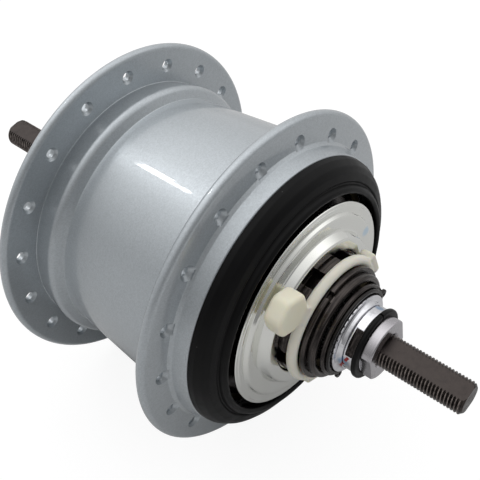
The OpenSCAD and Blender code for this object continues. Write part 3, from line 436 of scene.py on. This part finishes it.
def nylon():
    """Ivory nylon, a little translucent, with faint flow marks and a warmer grip."""
    m = Surface("ivory_nylon", subsurface_weight=0.35, subsurface_scale=1.6 * MM,
                specular_ior_level=0.45)
    m.shader.inputs["Subsurface Radius"].default_value = (1.0, 0.78, 0.45)
    flow = m.noise(6.0, detail=2.0)
    ring = m.mix(flow, (0.84, 0.81, 0.71), (0.92, 0.89, 0.80))
    grip = m.mix(flow, (0.95, 0.88, 0.67), (0.98, 0.93, 0.78))
    m.set("Base Color", m.mix(m.span(m.radius(), 20 * MM, 24 * MM), ring, grip))
    m.set("Roughness", m.span(m.noise(1.2), 0.3, 0.7, 0.36, 0.50))
    m.set("Normal", m.bump(m.noise(0.3, detail=4.0), 0.004, under=m.bump(m.noise(3.5), 0.012)))
    return m.material


def phosphate(name, dark, bare_and_highlight_tint, roughness, edge_wear_and_highlight):
    """Blackened steel: turned rings, patchy oil film, and sharp edges painted lighter, partly as
    worn bare metal and partly as a painted highlight.
    """
    m = Surface(name, metallic=0.85)
    rings = m.noise(0.28, detail=3.0, vector=m.ring_vector(0.5))
    patch = m.noise(2.6, detail=4.0)
    tone = m.mix(m.span(patch, 0.35, 0.7), dark, tuple(c * 1.9 for c in dark))
    # Sharp edges are painted lighter: partly bare metal worn through, partly a painted edge
    # highlight.
    broken = m.span(m.noise(0.8, detail=4.0), 0.35, 0.65)
    rubbed = m.math("MULTIPLY", m.edges(0.25, edge_wear_and_highlight), broken, clamp=True)
    body = m.mix(m.span(rings, 0.45, 0.8, 0.0, 0.5), tone, bare_and_highlight_tint)
    m.set("Base Color", m.mix(rubbed, body, bare_and_highlight_tint))
    m.set("Roughness", m.span(patch, 0.3, 0.7, roughness - 0.08, roughness + 0.08))
    m.set("Normal", m.bump(rings, 0.008, under=m.bump(m.noise(0.2, detail=3.0), 0.004)))
    return m.material


def thread_steel():
    """Dark axle steel whose thread crests and flats are rubbed bright."""
    m = Surface("black_axle", metallic=0.9)
    patch = m.noise(1.8, detail=4.0)
    tone = m.mix(m.span(patch, 0.3, 0.7), (0.028, 0.023, 0.022), (0.072, 0.060, 0.055))
    x, y, z = m.split()
    crest = m.span(m.radius(), 4.58 * MM, 4.74 * MM)
    outer = m.span(m.math("ABSOLUTE", y), 60 * MM, 62 * MM)
    broken = m.span(m.noise(0.9, detail=3.0), 0.30, 0.60)
    rub = m.math("MULTIPLY", m.math("MULTIPLY", crest, outer), broken, clamp=True)
    normal = math.radians(AXLE_TURN + 90)
    height = m.math("ADD", m.math("MULTIPLY", x, math.cos(normal)),
                    m.math("MULTIPLY", z, math.sin(normal)))
    flat = m.span(m.math("ABSOLUTE", height), 3.43 * MM, 3.445 * MM, 0.0, 0.55)
    colour = m.mix(rub, tone, (0.36, 0.31, 0.285))
    colour = m.mix(m.math("MULTIPLY", flat, outer), colour, (0.062, 0.053, 0.050))
    m.set("Base Color", colour)
    m.set("Roughness", m.span(patch, 0.3, 0.7, 0.26, 0.42))
    m.set("Normal", m.bump(m.noise(0.25, detail=3.0, stretch=(1.0, 0.15, 1.0)), 0.006))
    return m.material


def plated():
    """Bright plated steel with small dents, and a marker's double red stroke on the stop ring."""
    m = Surface("bright_steel", metallic=1.0)
    dull = m.span(m.noise(2.4, detail=3.0), 0.50, 0.66, 0.0, 0.5)
    colour = m.mix(dull, (0.78, 0.78, 0.81), (0.46, 0.46, 0.50))
    stain = m.math("MAXIMUM", m.spot((4.3, -59.6, 8.6), 1.7), m.spot((-9.6, -58.6, -1.2), 2.2))
    colour = m.mix(stain, colour, (0.36, 0.46, 0.60))
    mark = m.math("MAXIMUM", m.stroke(*RED_STROKES[0], 0.9), m.stroke(*RED_STROKES[1], 0.9))
    m.set("Base Color", m.mix(mark, colour, (0.32, 0.012, 0.012)))
    m.set("Metallic", m.math("SUBTRACT", 1.0, m.math("MULTIPLY", mark, 0.9)))
    m.set("Roughness", m.span(m.noise(1.2), 0.3, 0.7, 0.08, 0.18))
    rings = m.noise(0.22, detail=3.0, vector=m.ring_vector(0.4))
    m.set("Normal", m.bump(rings, 0.003, under=m.bump(m.noise(1.5), 0.02)))
    return m.material


def turned(name, colour, light, roughness, size=0.2):
    """Turned or ground steel with a fine ring grain."""
    m = Surface(name, metallic=1.0, anisotropic=0.35)
    rings = m.noise(size, detail=3.0, vector=m.ring_vector(0.3))
    m.set("Base Color", m.mix(rings, colour, light))
    m.set("Roughness", m.span(m.noise(1.5), 0.3, 0.7, roughness - 0.04, roughness + 0.07))
    m.set("Normal", m.bump(rings, 0.006))
    return m.material


def moulded():
    """Moulded black plastic with a fine grain."""
    m = Surface("black_plastic", specular_ior_level=0.4)
    m.set("Base Color", m.mix(m.noise(4.0), (0.020, 0.020, 0.021), (0.030, 0.030, 0.0315)))
    m.set("Roughness", m.span(m.noise(1.0), 0.3, 0.7, 0.37, 0.47))
    m.set("Normal", m.bump(m.noise(0.25, detail=4.0), 0.015))
    return m.material


def paper(name, grey, glow=0.0):
    """Matt paper for the stage, which may glow by itself."""
    m = Surface(name, roughness=0.9)
    m.set("Base Color", m.mix(m.noise(400.0), (grey,) * 3, (grey + 0.02,) * 3))
    m.shader.inputs["Emission Color"].default_value = (1, 1, 1, 1)
    m.shader.inputs["Emission Strength"].default_value = glow
    return m.material


# One material for each of the record's slots
LOOKS = {
    "silver_paint": paint(),
    "black_axle": thread_steel(),
    "dark_steel": phosphate(
        "dark_steel", (0.020, 0.017, 0.0165), (0.30, 0.26, 0.24), 0.22, edge_wear_and_highlight=4.5),
    "zinc_plate": zinc(),
    "bright_steel": plated(),
    "brushed_nut": turned("brushed_nut", (0.42, 0.405, 0.425), (0.56, 0.54, 0.565), 0.22),
    "black_rubber": rubber(),
    "ivory_nylon": nylon(),
    "black_spring_steel": phosphate(
        "black_spring_steel", (0.016, 0.015, 0.015), (0.12, 0.11, 0.10), 0.30, edge_wear_and_highlight=2.0),
    "gear_steel": turned("gear_steel", (0.42, 0.42, 0.43), (0.60, 0.60, 0.61), 0.24),
    "ball_steel": turned("ball_steel", (0.78, 0.78, 0.80), (0.88, 0.88, 0.89), 0.10, size=0.6),
    "cage_brass": turned("cage_brass", (0.09, 0.07, 0.032), (0.15, 0.12, 0.06), 0.40),
    "black_plastic": moulded(),
}
BARE = bare_metal()


# Pieces; the corners of an outline are (radius, place), or (x, z) across the axle in a prism

def spoke_hole_cutters():
    """A tool for each spoke hole: a bore that widens to a countersink at both faces."""
    depth = COUNTERSINK_R - HOLE_R
    beyond = 0.7
    cutters = []
    for side, (low, high, first) in FLANGES.items():
        outline = [
            (0, low - beyond), (COUNTERSINK_R + beyond, low - beyond), (HOLE_R, low + depth),
            (HOLE_R, high - depth), (COUNTERSINK_R + beyond, high + beyond), (0, high + beyond)]
        for k in range(SPOKES):
            centre = at_turn(SPOKE_CIRCLE, first + k * 360 / SPOKES)
            cutters.append(dress(lathe(f"spoke_{side}_{k}", outline, 32, origin=centre), BARE))
    return cutters


def make_shell():
    """Barrel, flanges and splined left boss in one, with the spoke holes cut."""
    outside = [
        (38.81, 32.5, 0.1), (42.7, 32.5, 0.5), (43.7, 28.3, 0.8), (44.5, 27.35, 0.4),
        (52.65, 26.3, 1.5), (52.65, 23.3, 1.5), (43.1, 23.3, 3.0), (39.35, -18.8, 0.3),
        (42.8, -21.0, 2.4), (41.2, -28.7, 0.2), (52.65, -28.7, 1.5), (52.65, -31.7, 1.5),
        (42.75, -31.7, 1.0), (42.75, -34.9, 0.9), (41.1, -35.9, 1.0), (28.0, -37.5, 1.2),
        (24.6, -37.5, 0.6), (24.6, -44.5, 0.4)]
    inside = [
        (22.0, -44.5, 0.3), (22.0, -41.575, 0.2), (18.105, -41.575, 0.2), (18.105, -33.2, 0.3),
        (38.0, -33.2, 0.8), (38.0, 24.55, 0), (38.81, 24.55, 0.1)]
    spline = rounded([(23.8, -1.5, 0), (26.0, -1.15, 0.35), (26.0, 1.15, 0.35), (23.8, 1.5, 0)])
    lacquer = LOOKS["silver_paint"]
    shell = dress(lathe("hub_shell_body", rounded(outside + inside, step=9), 384), lacquer)
    splines = [dress(prism(f"spline_{k}", spline, -43.9, -37.2, k * 360 / SPLINES), lacquer)
               for k in range(SPLINES)]
    combine(shell, join("splines", splines), "UNION")
    combine(shell, join("spoke_holes", spoke_hole_cutters()), "DIFFERENCE")
    stands_for(shell, "shell_group", "silver_paint", "hub_shell")


def make_seal():
    """Rubber seal of the shell's right end: a shoulder, a groove and a lip round the dust cap."""
    outline = [
        (42.6, 32.54, 0.2), (42.3, 34.3, 1.0), (41.1, 36.3, 2.0), (39.5, 37.55, 1.5),
        (37.35, 38.3, 0.5), (36.9, 37.75, 0.25), (36.45, 38.05, 0.3), (36.1, 39.35, 1.0),
        (35.2, 39.95, 0.7), (34.35, 39.7, 0.7), (34.1, 38.9, 0.4), (34.5, 37.5, 0.3),
        (36.6, 35.9, 0.5), (38.6, 34.4, 0.3), (38.7, 33.4, 0.3), (37.4, 33.4, 0.2),
        (37.4, 32.05, 0.2), (38.68, 32.05, 0.2), (38.68, 32.54, 0)]
    seal = lathe("seal", rounded(outline, step=10), 288)
    stands_for(seal, "shell_group", "black_rubber", "shell_seal")


def make_cap():
    """Dust cap pressed from sheet in two steps, and its seat on the driver."""
    front = [
        (32.1, 39.75, 0.15), (31.9, 40.05, 0.2), (31.15, 40.01, 0.1), (30.95, 40.22, 0.1),
        (29.1, 40.12, 0.3), (28.5, 41.1, 0.35), (27.9, 41.2, 0.3), (24.1, 41.0, 0.7),
        (22.85, 43.9, 0.9), (19.4, 43.84, 0.5), (18.9, 43.3, 0.3)]
    back = [
        (18.9, 42.14, 0.1), (19.7, 42.14, 0.1), (19.75, 43.0, 0.3), (22.1, 43.1, 0.4),
        (23.4, 40.3, 0.4), (27.6, 40.4, 0.3), (28.1, 40.1, 0.2), (28.7, 39.4, 0.3),
        (31.9, 39.4, 0.1), (32.1, 39.45, 0.1)]
    cap = lathe("dust_cap_pressed", rounded(front + back, step=8), 288)
    seat_outline = rounded(box_outline(18.43, 19.7, 41.34, 42.89), 0.1)
    seat = lathe("dust_cap_seat", seat_outline, 144)
    cap = join("dust_cap_plate", [cap, seat])
    stands_for(cap, "driver_group", "zinc_plate", "dust_cap")


def make_transport_ring():
    """Open ring with a rounded hexagonal grip in its middle and a pad at each end, one moulding."""
    ring_r, ring_s, wire = 18.1, 47.79, 1.55
    grip_r, grip_turn, grip_size, grip_corner = 27.4, 138, 6.5, 2.8
    ring = lathe("transport_ring_moulding", circle(ring_r, ring_s, wire, 15), 160, 16, 257)
    corners = [(*at_turn(grip_size, turn), grip_corner) for turn in range(30, 390, 60)]
    hexagon = [(grip_r + x, z) for x, z in rounded(corners, step=10)]
    grip = prism("grip", hexagon, 43.75, 49.5, grip_turn)
    bevel(grip, 1.2, 5)
    neck_outline = box_outline(ring_r, grip_r - 3, -2.8, 2.8)
    neck = prism("neck", neck_outline, ring_s - 1.2, ring_s + 1.2, grip_turn)
    combine(grip, neck, "UNION")
    combine(ring, grip, "UNION")
    for turn, outer in ((24.3, 21.2), (250, 20.35)):
        pad_outline = box_outline(18.85, outer, -4.5, 4.5)
        pad = prism(f"pad_{round(turn)}", pad_outline, 44.7, 49.15, turn)
        bevel(pad, 0.5)
        combine(ring, pad, "UNION")
    shape(ring, "REMESH", mode="VOXEL", voxel_size=0.22 * MM)
    shape(ring, "SMOOTH", factor=0.5, iterations=16)
    ring.data.shade_smooth()
    stands_for(ring, "driver_group", "ivory_nylon", "transport_ring")


def make_driver():
    """Driver with its ball races, sprocket lugs, seat and groove, and pawl pockets inside."""
    lug_r, seat_r, neck_r = 18.6, 16.4, 18.4
    outside = [
        (9.0, 8.6, 0.3), (12.0, 8.6, 0.3), (12.0, 12.2, 0), (28.7, 12.2, 0.1),
        (28.7, 15.0, 0.3), (20.5, 16.5, 1.0), (20.5, 22.1, 1.5), (27.0, 24.0, 1.0),
        (30.22, 25.0, 0.4), (31.22, 26.0, 0.3), (31.22, 28.6, 0), (33.4, 30.2, 0.3),
        (33.4, 32.6, 0.5), (31.4, 33.6, 0.6), (20.4, 34.6, 1.5), (neck_r, 36.6, 1.0),
        (neck_r, 42.94, 0), (lug_r, 42.94, 0.1), (lug_r, 46.14, 0.35), (seat_r, 46.14, 0.2),
        (seat_r, 49.44, 0.1), (15.0, 49.44, 0.1), (15.0, 51.04, 0.1), (16.0, 51.04, 0.1),
        (16.0, 53.34, 0.8)]
    inside = [
        (14.2, 53.34, 0.4), (14.2, 46.64, 0), (11.9, 46.64, 0), (11.9, 43.24, 0.2),
        (9.0, 42.24, 0.2)]
    driver = lathe("driver_body", rounded(outside + inside, step=12), 288)
    races = [lathe("race_main", circle(34, 28.6, 2.88, 10), 192),
             lathe("race_right", circle(12.3, 46.64, 2.48, 10), 144)]
    combine(driver, join("races", races), "DIFFERENCE")
    slot = wedge_outline(lug_r + 1.4, seat_r - 0.6, -9, 9)
    slots = [prism(f"lug_slot_{k}", slot, 41.94, 47.14, 108 + 40 * k) for k in range(9)]
    combine(driver, join("lug_slots", slots), "DIFFERENCE")
    pocket = wedge_outline(13.0, 9.9, -0.3, 50.6)
    pockets = [prism(f"pocket_{k}", pocket, 7.6, 11.1, 120 * k) for k in range(3)]
    combine(driver, join("pawl_pockets", pockets), "DIFFERENCE")
    stands_for(driver, "driver_group", "dark_steel", "driver")


def make_snap_ring():
    """Flat open ring in the driver's groove."""
    outline = rounded(box_outline(15.05, 17.3, 49.49, 50.94), 0.3)
    ring = lathe("snap_ring", outline, 180, 116, 468)
    stands_for(ring, "driver_group", "dark_steel", "driver_snap_ring")


def make_shift_plate():
    """Slotted plate that the shift unit's cassette turns."""
    low, high, slots = 53.84, 55.24, 22
    outline = rounded(box_outline(7.1, 14.1, low, high), 0.35)
    plate = lathe("shift_plate_disc", outline, 192)
    slot = rounded([(11.3, -0.75), (13.4, -0.85), (13.4, 0.85), (11.3, 0.75)], 0.5)
    cutters = [prism(f"plate_slot_{k}", slot, low - 0.5, high + 0.5, 92 + k * 360 / slots)
               for k in range(slots)]
    combine(plate, join("plate_slots", cutters), "DIFFERENCE")
    bevel(plate, 0.12)
    stands_for(plate, "shifter_group", "dark_steel", "shift_plate")


def make_shift_clip():
    """Open spring clip with a rounded ear at each end."""
    low, high = 55.27, 56.17
    clip = lathe("shift_clip_ring", rounded(box_outline(12.2, 13.3, low, high), 0.3), 128, 27, 238)
    ear_outline = rounded(box_outline(0.45, 1.3, low, high))
    for turn, r in ((24, 13.5), (241, 13.3)):
        ear = lathe(f"ear_{turn}", ear_outline, 32, origin=at_turn(r, turn))
        combine(clip, ear, "UNION")
    stands_for(clip, "shifter_group", "black_spring_steel", "shift_clip")


def make_toothed_washer():
    """Washer with a fine toothed rim and a stepped outer face."""
    teeth, notch_r, r, low = 36, 0.38, 11.9, 55.54
    outline = [
        (4.8, low), (r, low, 0.15), (r, low + 1.2, 0.15), (10.6, low + 1.2, 0.2),
        (10.3, low + 1.6, 0.2), (10.1, low + 2.7, 0.3), (4.8, low + 2.7)]
    body = lathe("toothed_washer_disc", rounded(outline), 216)
    notch = box_outline(0, notch_r, low - 1, low + 1.1)
    notches = [lathe(f"notch_{k}", notch, 12, origin=at_turn(r + 0.2, k * 360 / teeth))
               for k in range(teeth)]
    combine(body, join("notches", notches), "DIFFERENCE")
    stands_for(body, "axle_group", "bright_steel", "toothed_washer")


def flats_cutter(name, distance, turn, low, high):
    """Two blocks that cut parallel flats at a distance from the axis."""
    size = 30.0
    outline = box_outline(distance, distance + size, -size, size)
    return join(name, [prism(f"{name}_{k}", outline, low, high, turn + k) for k in (0, 180)])


def make_stop_ring():
    """Bright ring with two dark flats, and a collar for the rubber ring."""
    r, flat, low, high = 9.75, 8.85, 58.27, 61.24
    outline = [
        (4.8, low), (r, low, 0.35), (r, high, 0.5), (8.2, high, 0.1), (8.2, 62.77, 0.1),
        (4.8, 62.77)]
    ring = dress(lathe("stop_ring_body", rounded(outline), 216), LOOKS["bright_steel"])
    flats = flats_cutter("stop_flats", flat, AXLE_TURN + 131.5, low + 0.6, high + 0.6)
    combine(ring, dress(flats, LOOKS["dark_steel"]), "DIFFERENCE")
    stands_for(ring, "axle_group", "bright_steel", "stop_ring")


def make_o_ring():
    """Split rubber ring with a narrow gap."""
    outline = rounded(box_outline(8.23, 10.55, 61.27, 62.77), 0.55, 15)
    ring = lathe("o_ring_rubber", outline, 180, 85, 442)
    stands_for(ring, "axle_group", "black_rubber", "right_o_ring")


def make_locknut(name, node, base, tip):
    """Round nut with two wrench flats; base is its inner face, tip its outer one."""
    way = 1 if tip > base else -1
    outline = [
        (4.78, base, 0.1), (NUT_R, base, 0.25), (NUT_R, tip, 0.45), (5.5, tip, 0),
        (4.78, tip - way * 0.7, 0)]
    nut = lathe(name, rounded(outline), 216)
    low, high = sorted((base - way, tip + way))
    combine(nut, flats_cutter(name + "_flats", NUT_FLAT, AXLE_TURN, low, high), "DIFFERENCE")
    bevel(nut, 0.1)
    stands_for(nut, "axle_group", "brushed_nut", node)


def make_axle():
    """Axle with a true helical thread at both ends, cut by two flats."""
    half, thread_r, root_r, core_r, collar_r = 91.0, 4.75, 4.28, 5.2, 6.85
    pitch, chamfer = 0.977, 0.95
    thread_start, run_out_start, run_out = 62.0, 62.3, 0.6
    root_share, flank_share = 0.10, 0.72        # of half a pitch
    flat, flats_right, flats_left = 3.45, 55.505, -46.43
    columns = 144
    step = pitch / 8

    def thread(s, a):
        """Radius of the thread at a place, and at a turn in radians."""
        phase = (s / pitch - a / (2 * math.pi)) % 1.0
        height = 1 - abs(2 * phase - 1)
        height = min(1.0, max(0.0, (height - root_share) / flank_share))
        top = thread_r - max(0.0, chamfer - (half - abs(s)))
        depth = min(1.0, max(0.0, (abs(s) - run_out_start) / run_out))
        return min(top, thread_r - (thread_r - root_r) * (1 - height) * depth)

    rows = [(s, None) for s in np.arange(-half, -thread_start + step / 2, step)]
    rows += [(-61.9, thread_r), (-29.5, thread_r), (-29.5, collar_r), (-25.6, collar_r),
             (-25.6, core_r), (55.51, core_r), (55.51, thread_r), (61.9, thread_r)]
    rows += [(s, None) for s in np.arange(thread_start, half + step / 2, step)]
    turns = np.radians(np.arange(columns) * 360 / columns)
    normal = math.radians(AXLE_TURN + 90)
    across, along = (math.cos(normal), math.sin(normal)), (-math.sin(normal), math.cos(normal))
    verts = []
    for s, r in rows:
        s = max(-half, min(half, s))
        for a in turns:
            radius = r if r is not None else thread(s, a)
            x, z = radius * math.cos(a), radius * math.sin(a)
            if s > flats_right or s < flats_left:
                u = max(-flat, min(flat, x * across[0] + z * across[1]))
                v = x * along[0] + z * along[1]
                x, z = u * across[0] + v * along[0], u * across[1] + v * along[1]
            verts.append((x * MM, -s * MM, z * MM))
    faces = []
    for i in range(len(rows) - 1):
        for k in range(columns):
            m = (k + 1) % columns
            faces.append((i * columns + k, i * columns + m, (i + 1) * columns + m,
                          (i + 1) * columns + k))
    faces.append(tuple(range(columns)))
    faces.append(tuple(range((len(rows) - 1) * columns, len(rows) * columns)))
    axle = new_object("axle_shaft", verts, faces, smooth_angle=28)
    rib = prism("axle_rib", box_outline(4.2, 7.13, -1.5, 1.5), -3.0, 50.34, 60)
    combine(axle, rib, "UNION", smooth_angle=28)
    stands_for(axle, "axle_group", "black_axle", "axle")


def make_left_cone():
    """Bearing cone of the left end, with its ball race."""
    outline = [
        (4.78, -35.0), (9.52, -35.0, 0.4), (10.33, -35.8, 0.3), (10.33, -37.4, 0.1),
        (11.8, -39.0, 0.3), (11.8, -43.9, 0.3), (9.0, -44.4, 0.2), (9.0, -46.4, 0.3),
        (4.78, -46.4)]
    cone = lathe("left_cone_body", rounded(outline), 192)
    combine(cone, lathe("race_left", circle(13.5, -37.4, 3.275, 12), 144), "DIFFERENCE")
    stands_for(cone, "axle_group", "gear_steel", "left_cone")


def make_left_end():
    """Washer, spacer and dust cap of the left end."""
    washer_outline = rounded(box_outline(4.8, 9.4, -48.4, -46.43), 0.25)
    washer = lathe("left_washer_disc", washer_outline, 144)
    stands_for(washer, "axle_group", "bright_steel", "left_washer")
    spacer_outline = rounded(box_outline(4.78, 8.0, -60.37, -48.43), 0.3)
    spacer = lathe("left_spacer_tube", spacer_outline, 144)
    stands_for(spacer, "axle_group", "brushed_nut", "left_spacer")
    cap_outline = [
        (11.95, -43.8), (21.97, -43.8, 0.3), (21.97, -41.7, 0.1), (20.8, -41.7, 0.2),
        (20.8, -42.8, 0.5), (13.4, -42.8, 0.3), (13.0, -43.1, 0.3), (11.95, -43.1)]
    cap = lathe("left_dust_cap_disc", rounded(cap_outline), 192)
    stands_for(cap, "shell_group", "black_plastic", "left_dust_cap")


def dress_cad_nodes():
    """Gives every CAD node the material of its slot in the record."""
    for part in frame["record"]["subparts"]:
        node = frame["nodes"][part["node"]]
        node.data.materials.clear()
        node.data.materials.append(LOOKS[part["material_slot"]])


# Stage, light and camera

def plane(name, half_side, height, material):
    """Level square; its sizes are in metres."""
    corners = [(x * half_side, y * half_side, height)
               for x, y in ((-1, -1), (1, -1), (1, 1), (-1, 1))]
    mesh = bpy.data.meshes.new(name)
    mesh.from_pydata(corners, [], [(0, 1, 2, 3)])
    obj = bpy.data.objects.new(name, mesh)
    bpy.context.scene.collection.objects.link(obj)
    return dress(obj, material)


def make_stage():
    """White paper that the camera sees, and just under it a pale table that lights the hub."""
    ground = -52.65 * MM
    sheet = plane("studio_paper", 6.0, ground, paper("studio_paper", 0.12, glow=0.9))
    sheet.visible_glossy = sheet.visible_diffuse = sheet.visible_shadow = False
    table = plane("studio_table", 6.0, ground - 0.3 * MM, paper("studio_table", 0.60))
    table.visible_camera = False


def make_surround():
    """Three broad soft glows in a dark room: high behind, at the right and low behind."""
    glows = (      # turn about +Z, height, sharpness, strength
        (92, 68, 2.97, 1.42),
        (-28, 41, 9.0, 0.69),
        (38, -61, 1.21, 1.05))
    world = bpy.data.worlds.new("surround")
    bpy.context.scene.world = world
    world.use_nodes = True
    tree = world.node_tree

    def node(kind, operation, *inputs):
        made = tree.nodes.new(kind)
        made.operation = operation
        for socket, value in zip(made.inputs, inputs):
            if isinstance(value, bpy.types.NodeSocket):
                tree.links.new(value, socket)
            else:
                socket.default_value = value
        return made.outputs["Value"]

    where = tree.nodes.new("ShaderNodeTexCoord").outputs["Generated"]
    total = 0.02
    for turn, height, sharpness, strength in glows:
        a, e = math.radians(turn), math.radians(height)
        centre = (math.cos(a) * math.cos(e), math.sin(a) * math.cos(e), math.sin(e))
        near = node("ShaderNodeVectorMath", "DOT_PRODUCT", where, centre)
        fall = node("ShaderNodeMath", "MULTIPLY_ADD", near, sharpness, -sharpness)
        glow = node("ShaderNodeMath", "EXPONENT", fall)
        total = node("ShaderNodeMath", "MULTIPLY_ADD", glow, strength, total)
    background = tree.nodes["Background"]
    background.inputs["Color"].default_value = (1.0, 1.0, 1.0, 1)
    tree.links.new(total, background.inputs["Strength"])


def area_light(name, location, width, height, turn, power):
    """Rectangular light, in metres and watts, that looks at the hub, turned about its own axis."""
    hub = Vector((0, 0, 0.04))
    light = bpy.data.lights.new(name, "AREA")
    light.shape = "RECTANGLE"
    light.size, light.size_y, light.energy = width, height, power
    lamp = bpy.data.objects.new(name, light)
    lamp.location = location
    lamp.rotation_mode = "QUATERNION"
    aim = (hub - Vector(location)).to_track_quat("-Z", "Y")
    lamp.rotation_quaternion = aim @ Quaternion((0, 0, 1), math.radians(turn))
    bpy.context.scene.collection.objects.link(lamp)


def make_lights():
    """Two small lamps side by side, whose reflections draw one streak along the barrel."""
    area_light("lamp", (-0.091, 0.669, 0.680), 0.046, 0.042, -26, 0.24)
    area_light("strip", (-0.115, 0.639, 0.698), 0.034, 0.036, -26, 0.05)


def make_camera():
    """Camera fitted to the photograph's view."""
    place = Vector((-136.76, -131.40, 172.75)) * MM
    right = Vector((0.65115, -0.75895, 0.0))
    up = Vector((0.50967, 0.43727, 0.74097))
    back = Vector((-0.56236, -0.48248, 0.67154))
    data = bpy.data.cameras.new("camera")
    data.lens, data.sensor_width = 62.8, 36
    data.clip_start, data.clip_end = 0.01, 50
    camera = bpy.data.objects.new("camera", data)
    bpy.context.scene.collection.objects.link(camera)
    turn = Matrix((right, up, back)).transposed().to_4x4()
    camera.matrix_world = Matrix.Translation(place) @ turn
    bpy.context.scene.camera = camera


make_shell()
make_seal()
make_cap()
make_transport_ring()
make_driver()
make_snap_ring()
make_shift_plate()
make_shift_clip()
make_toothed_washer()
make_stop_ring()
make_o_ring()
make_locknut("locknut_right", "right_locknut", 62.8, 66.0)
make_locknut("locknut_left", "left_locknut", -60.4, -66.0)
make_axle()
make_left_cone()
make_left_end()
dress_cad_nodes()

make_stage()
make_surround()
make_lights()
make_camera()
bpy.context.scene.view_settings.view_transform = "Standard"
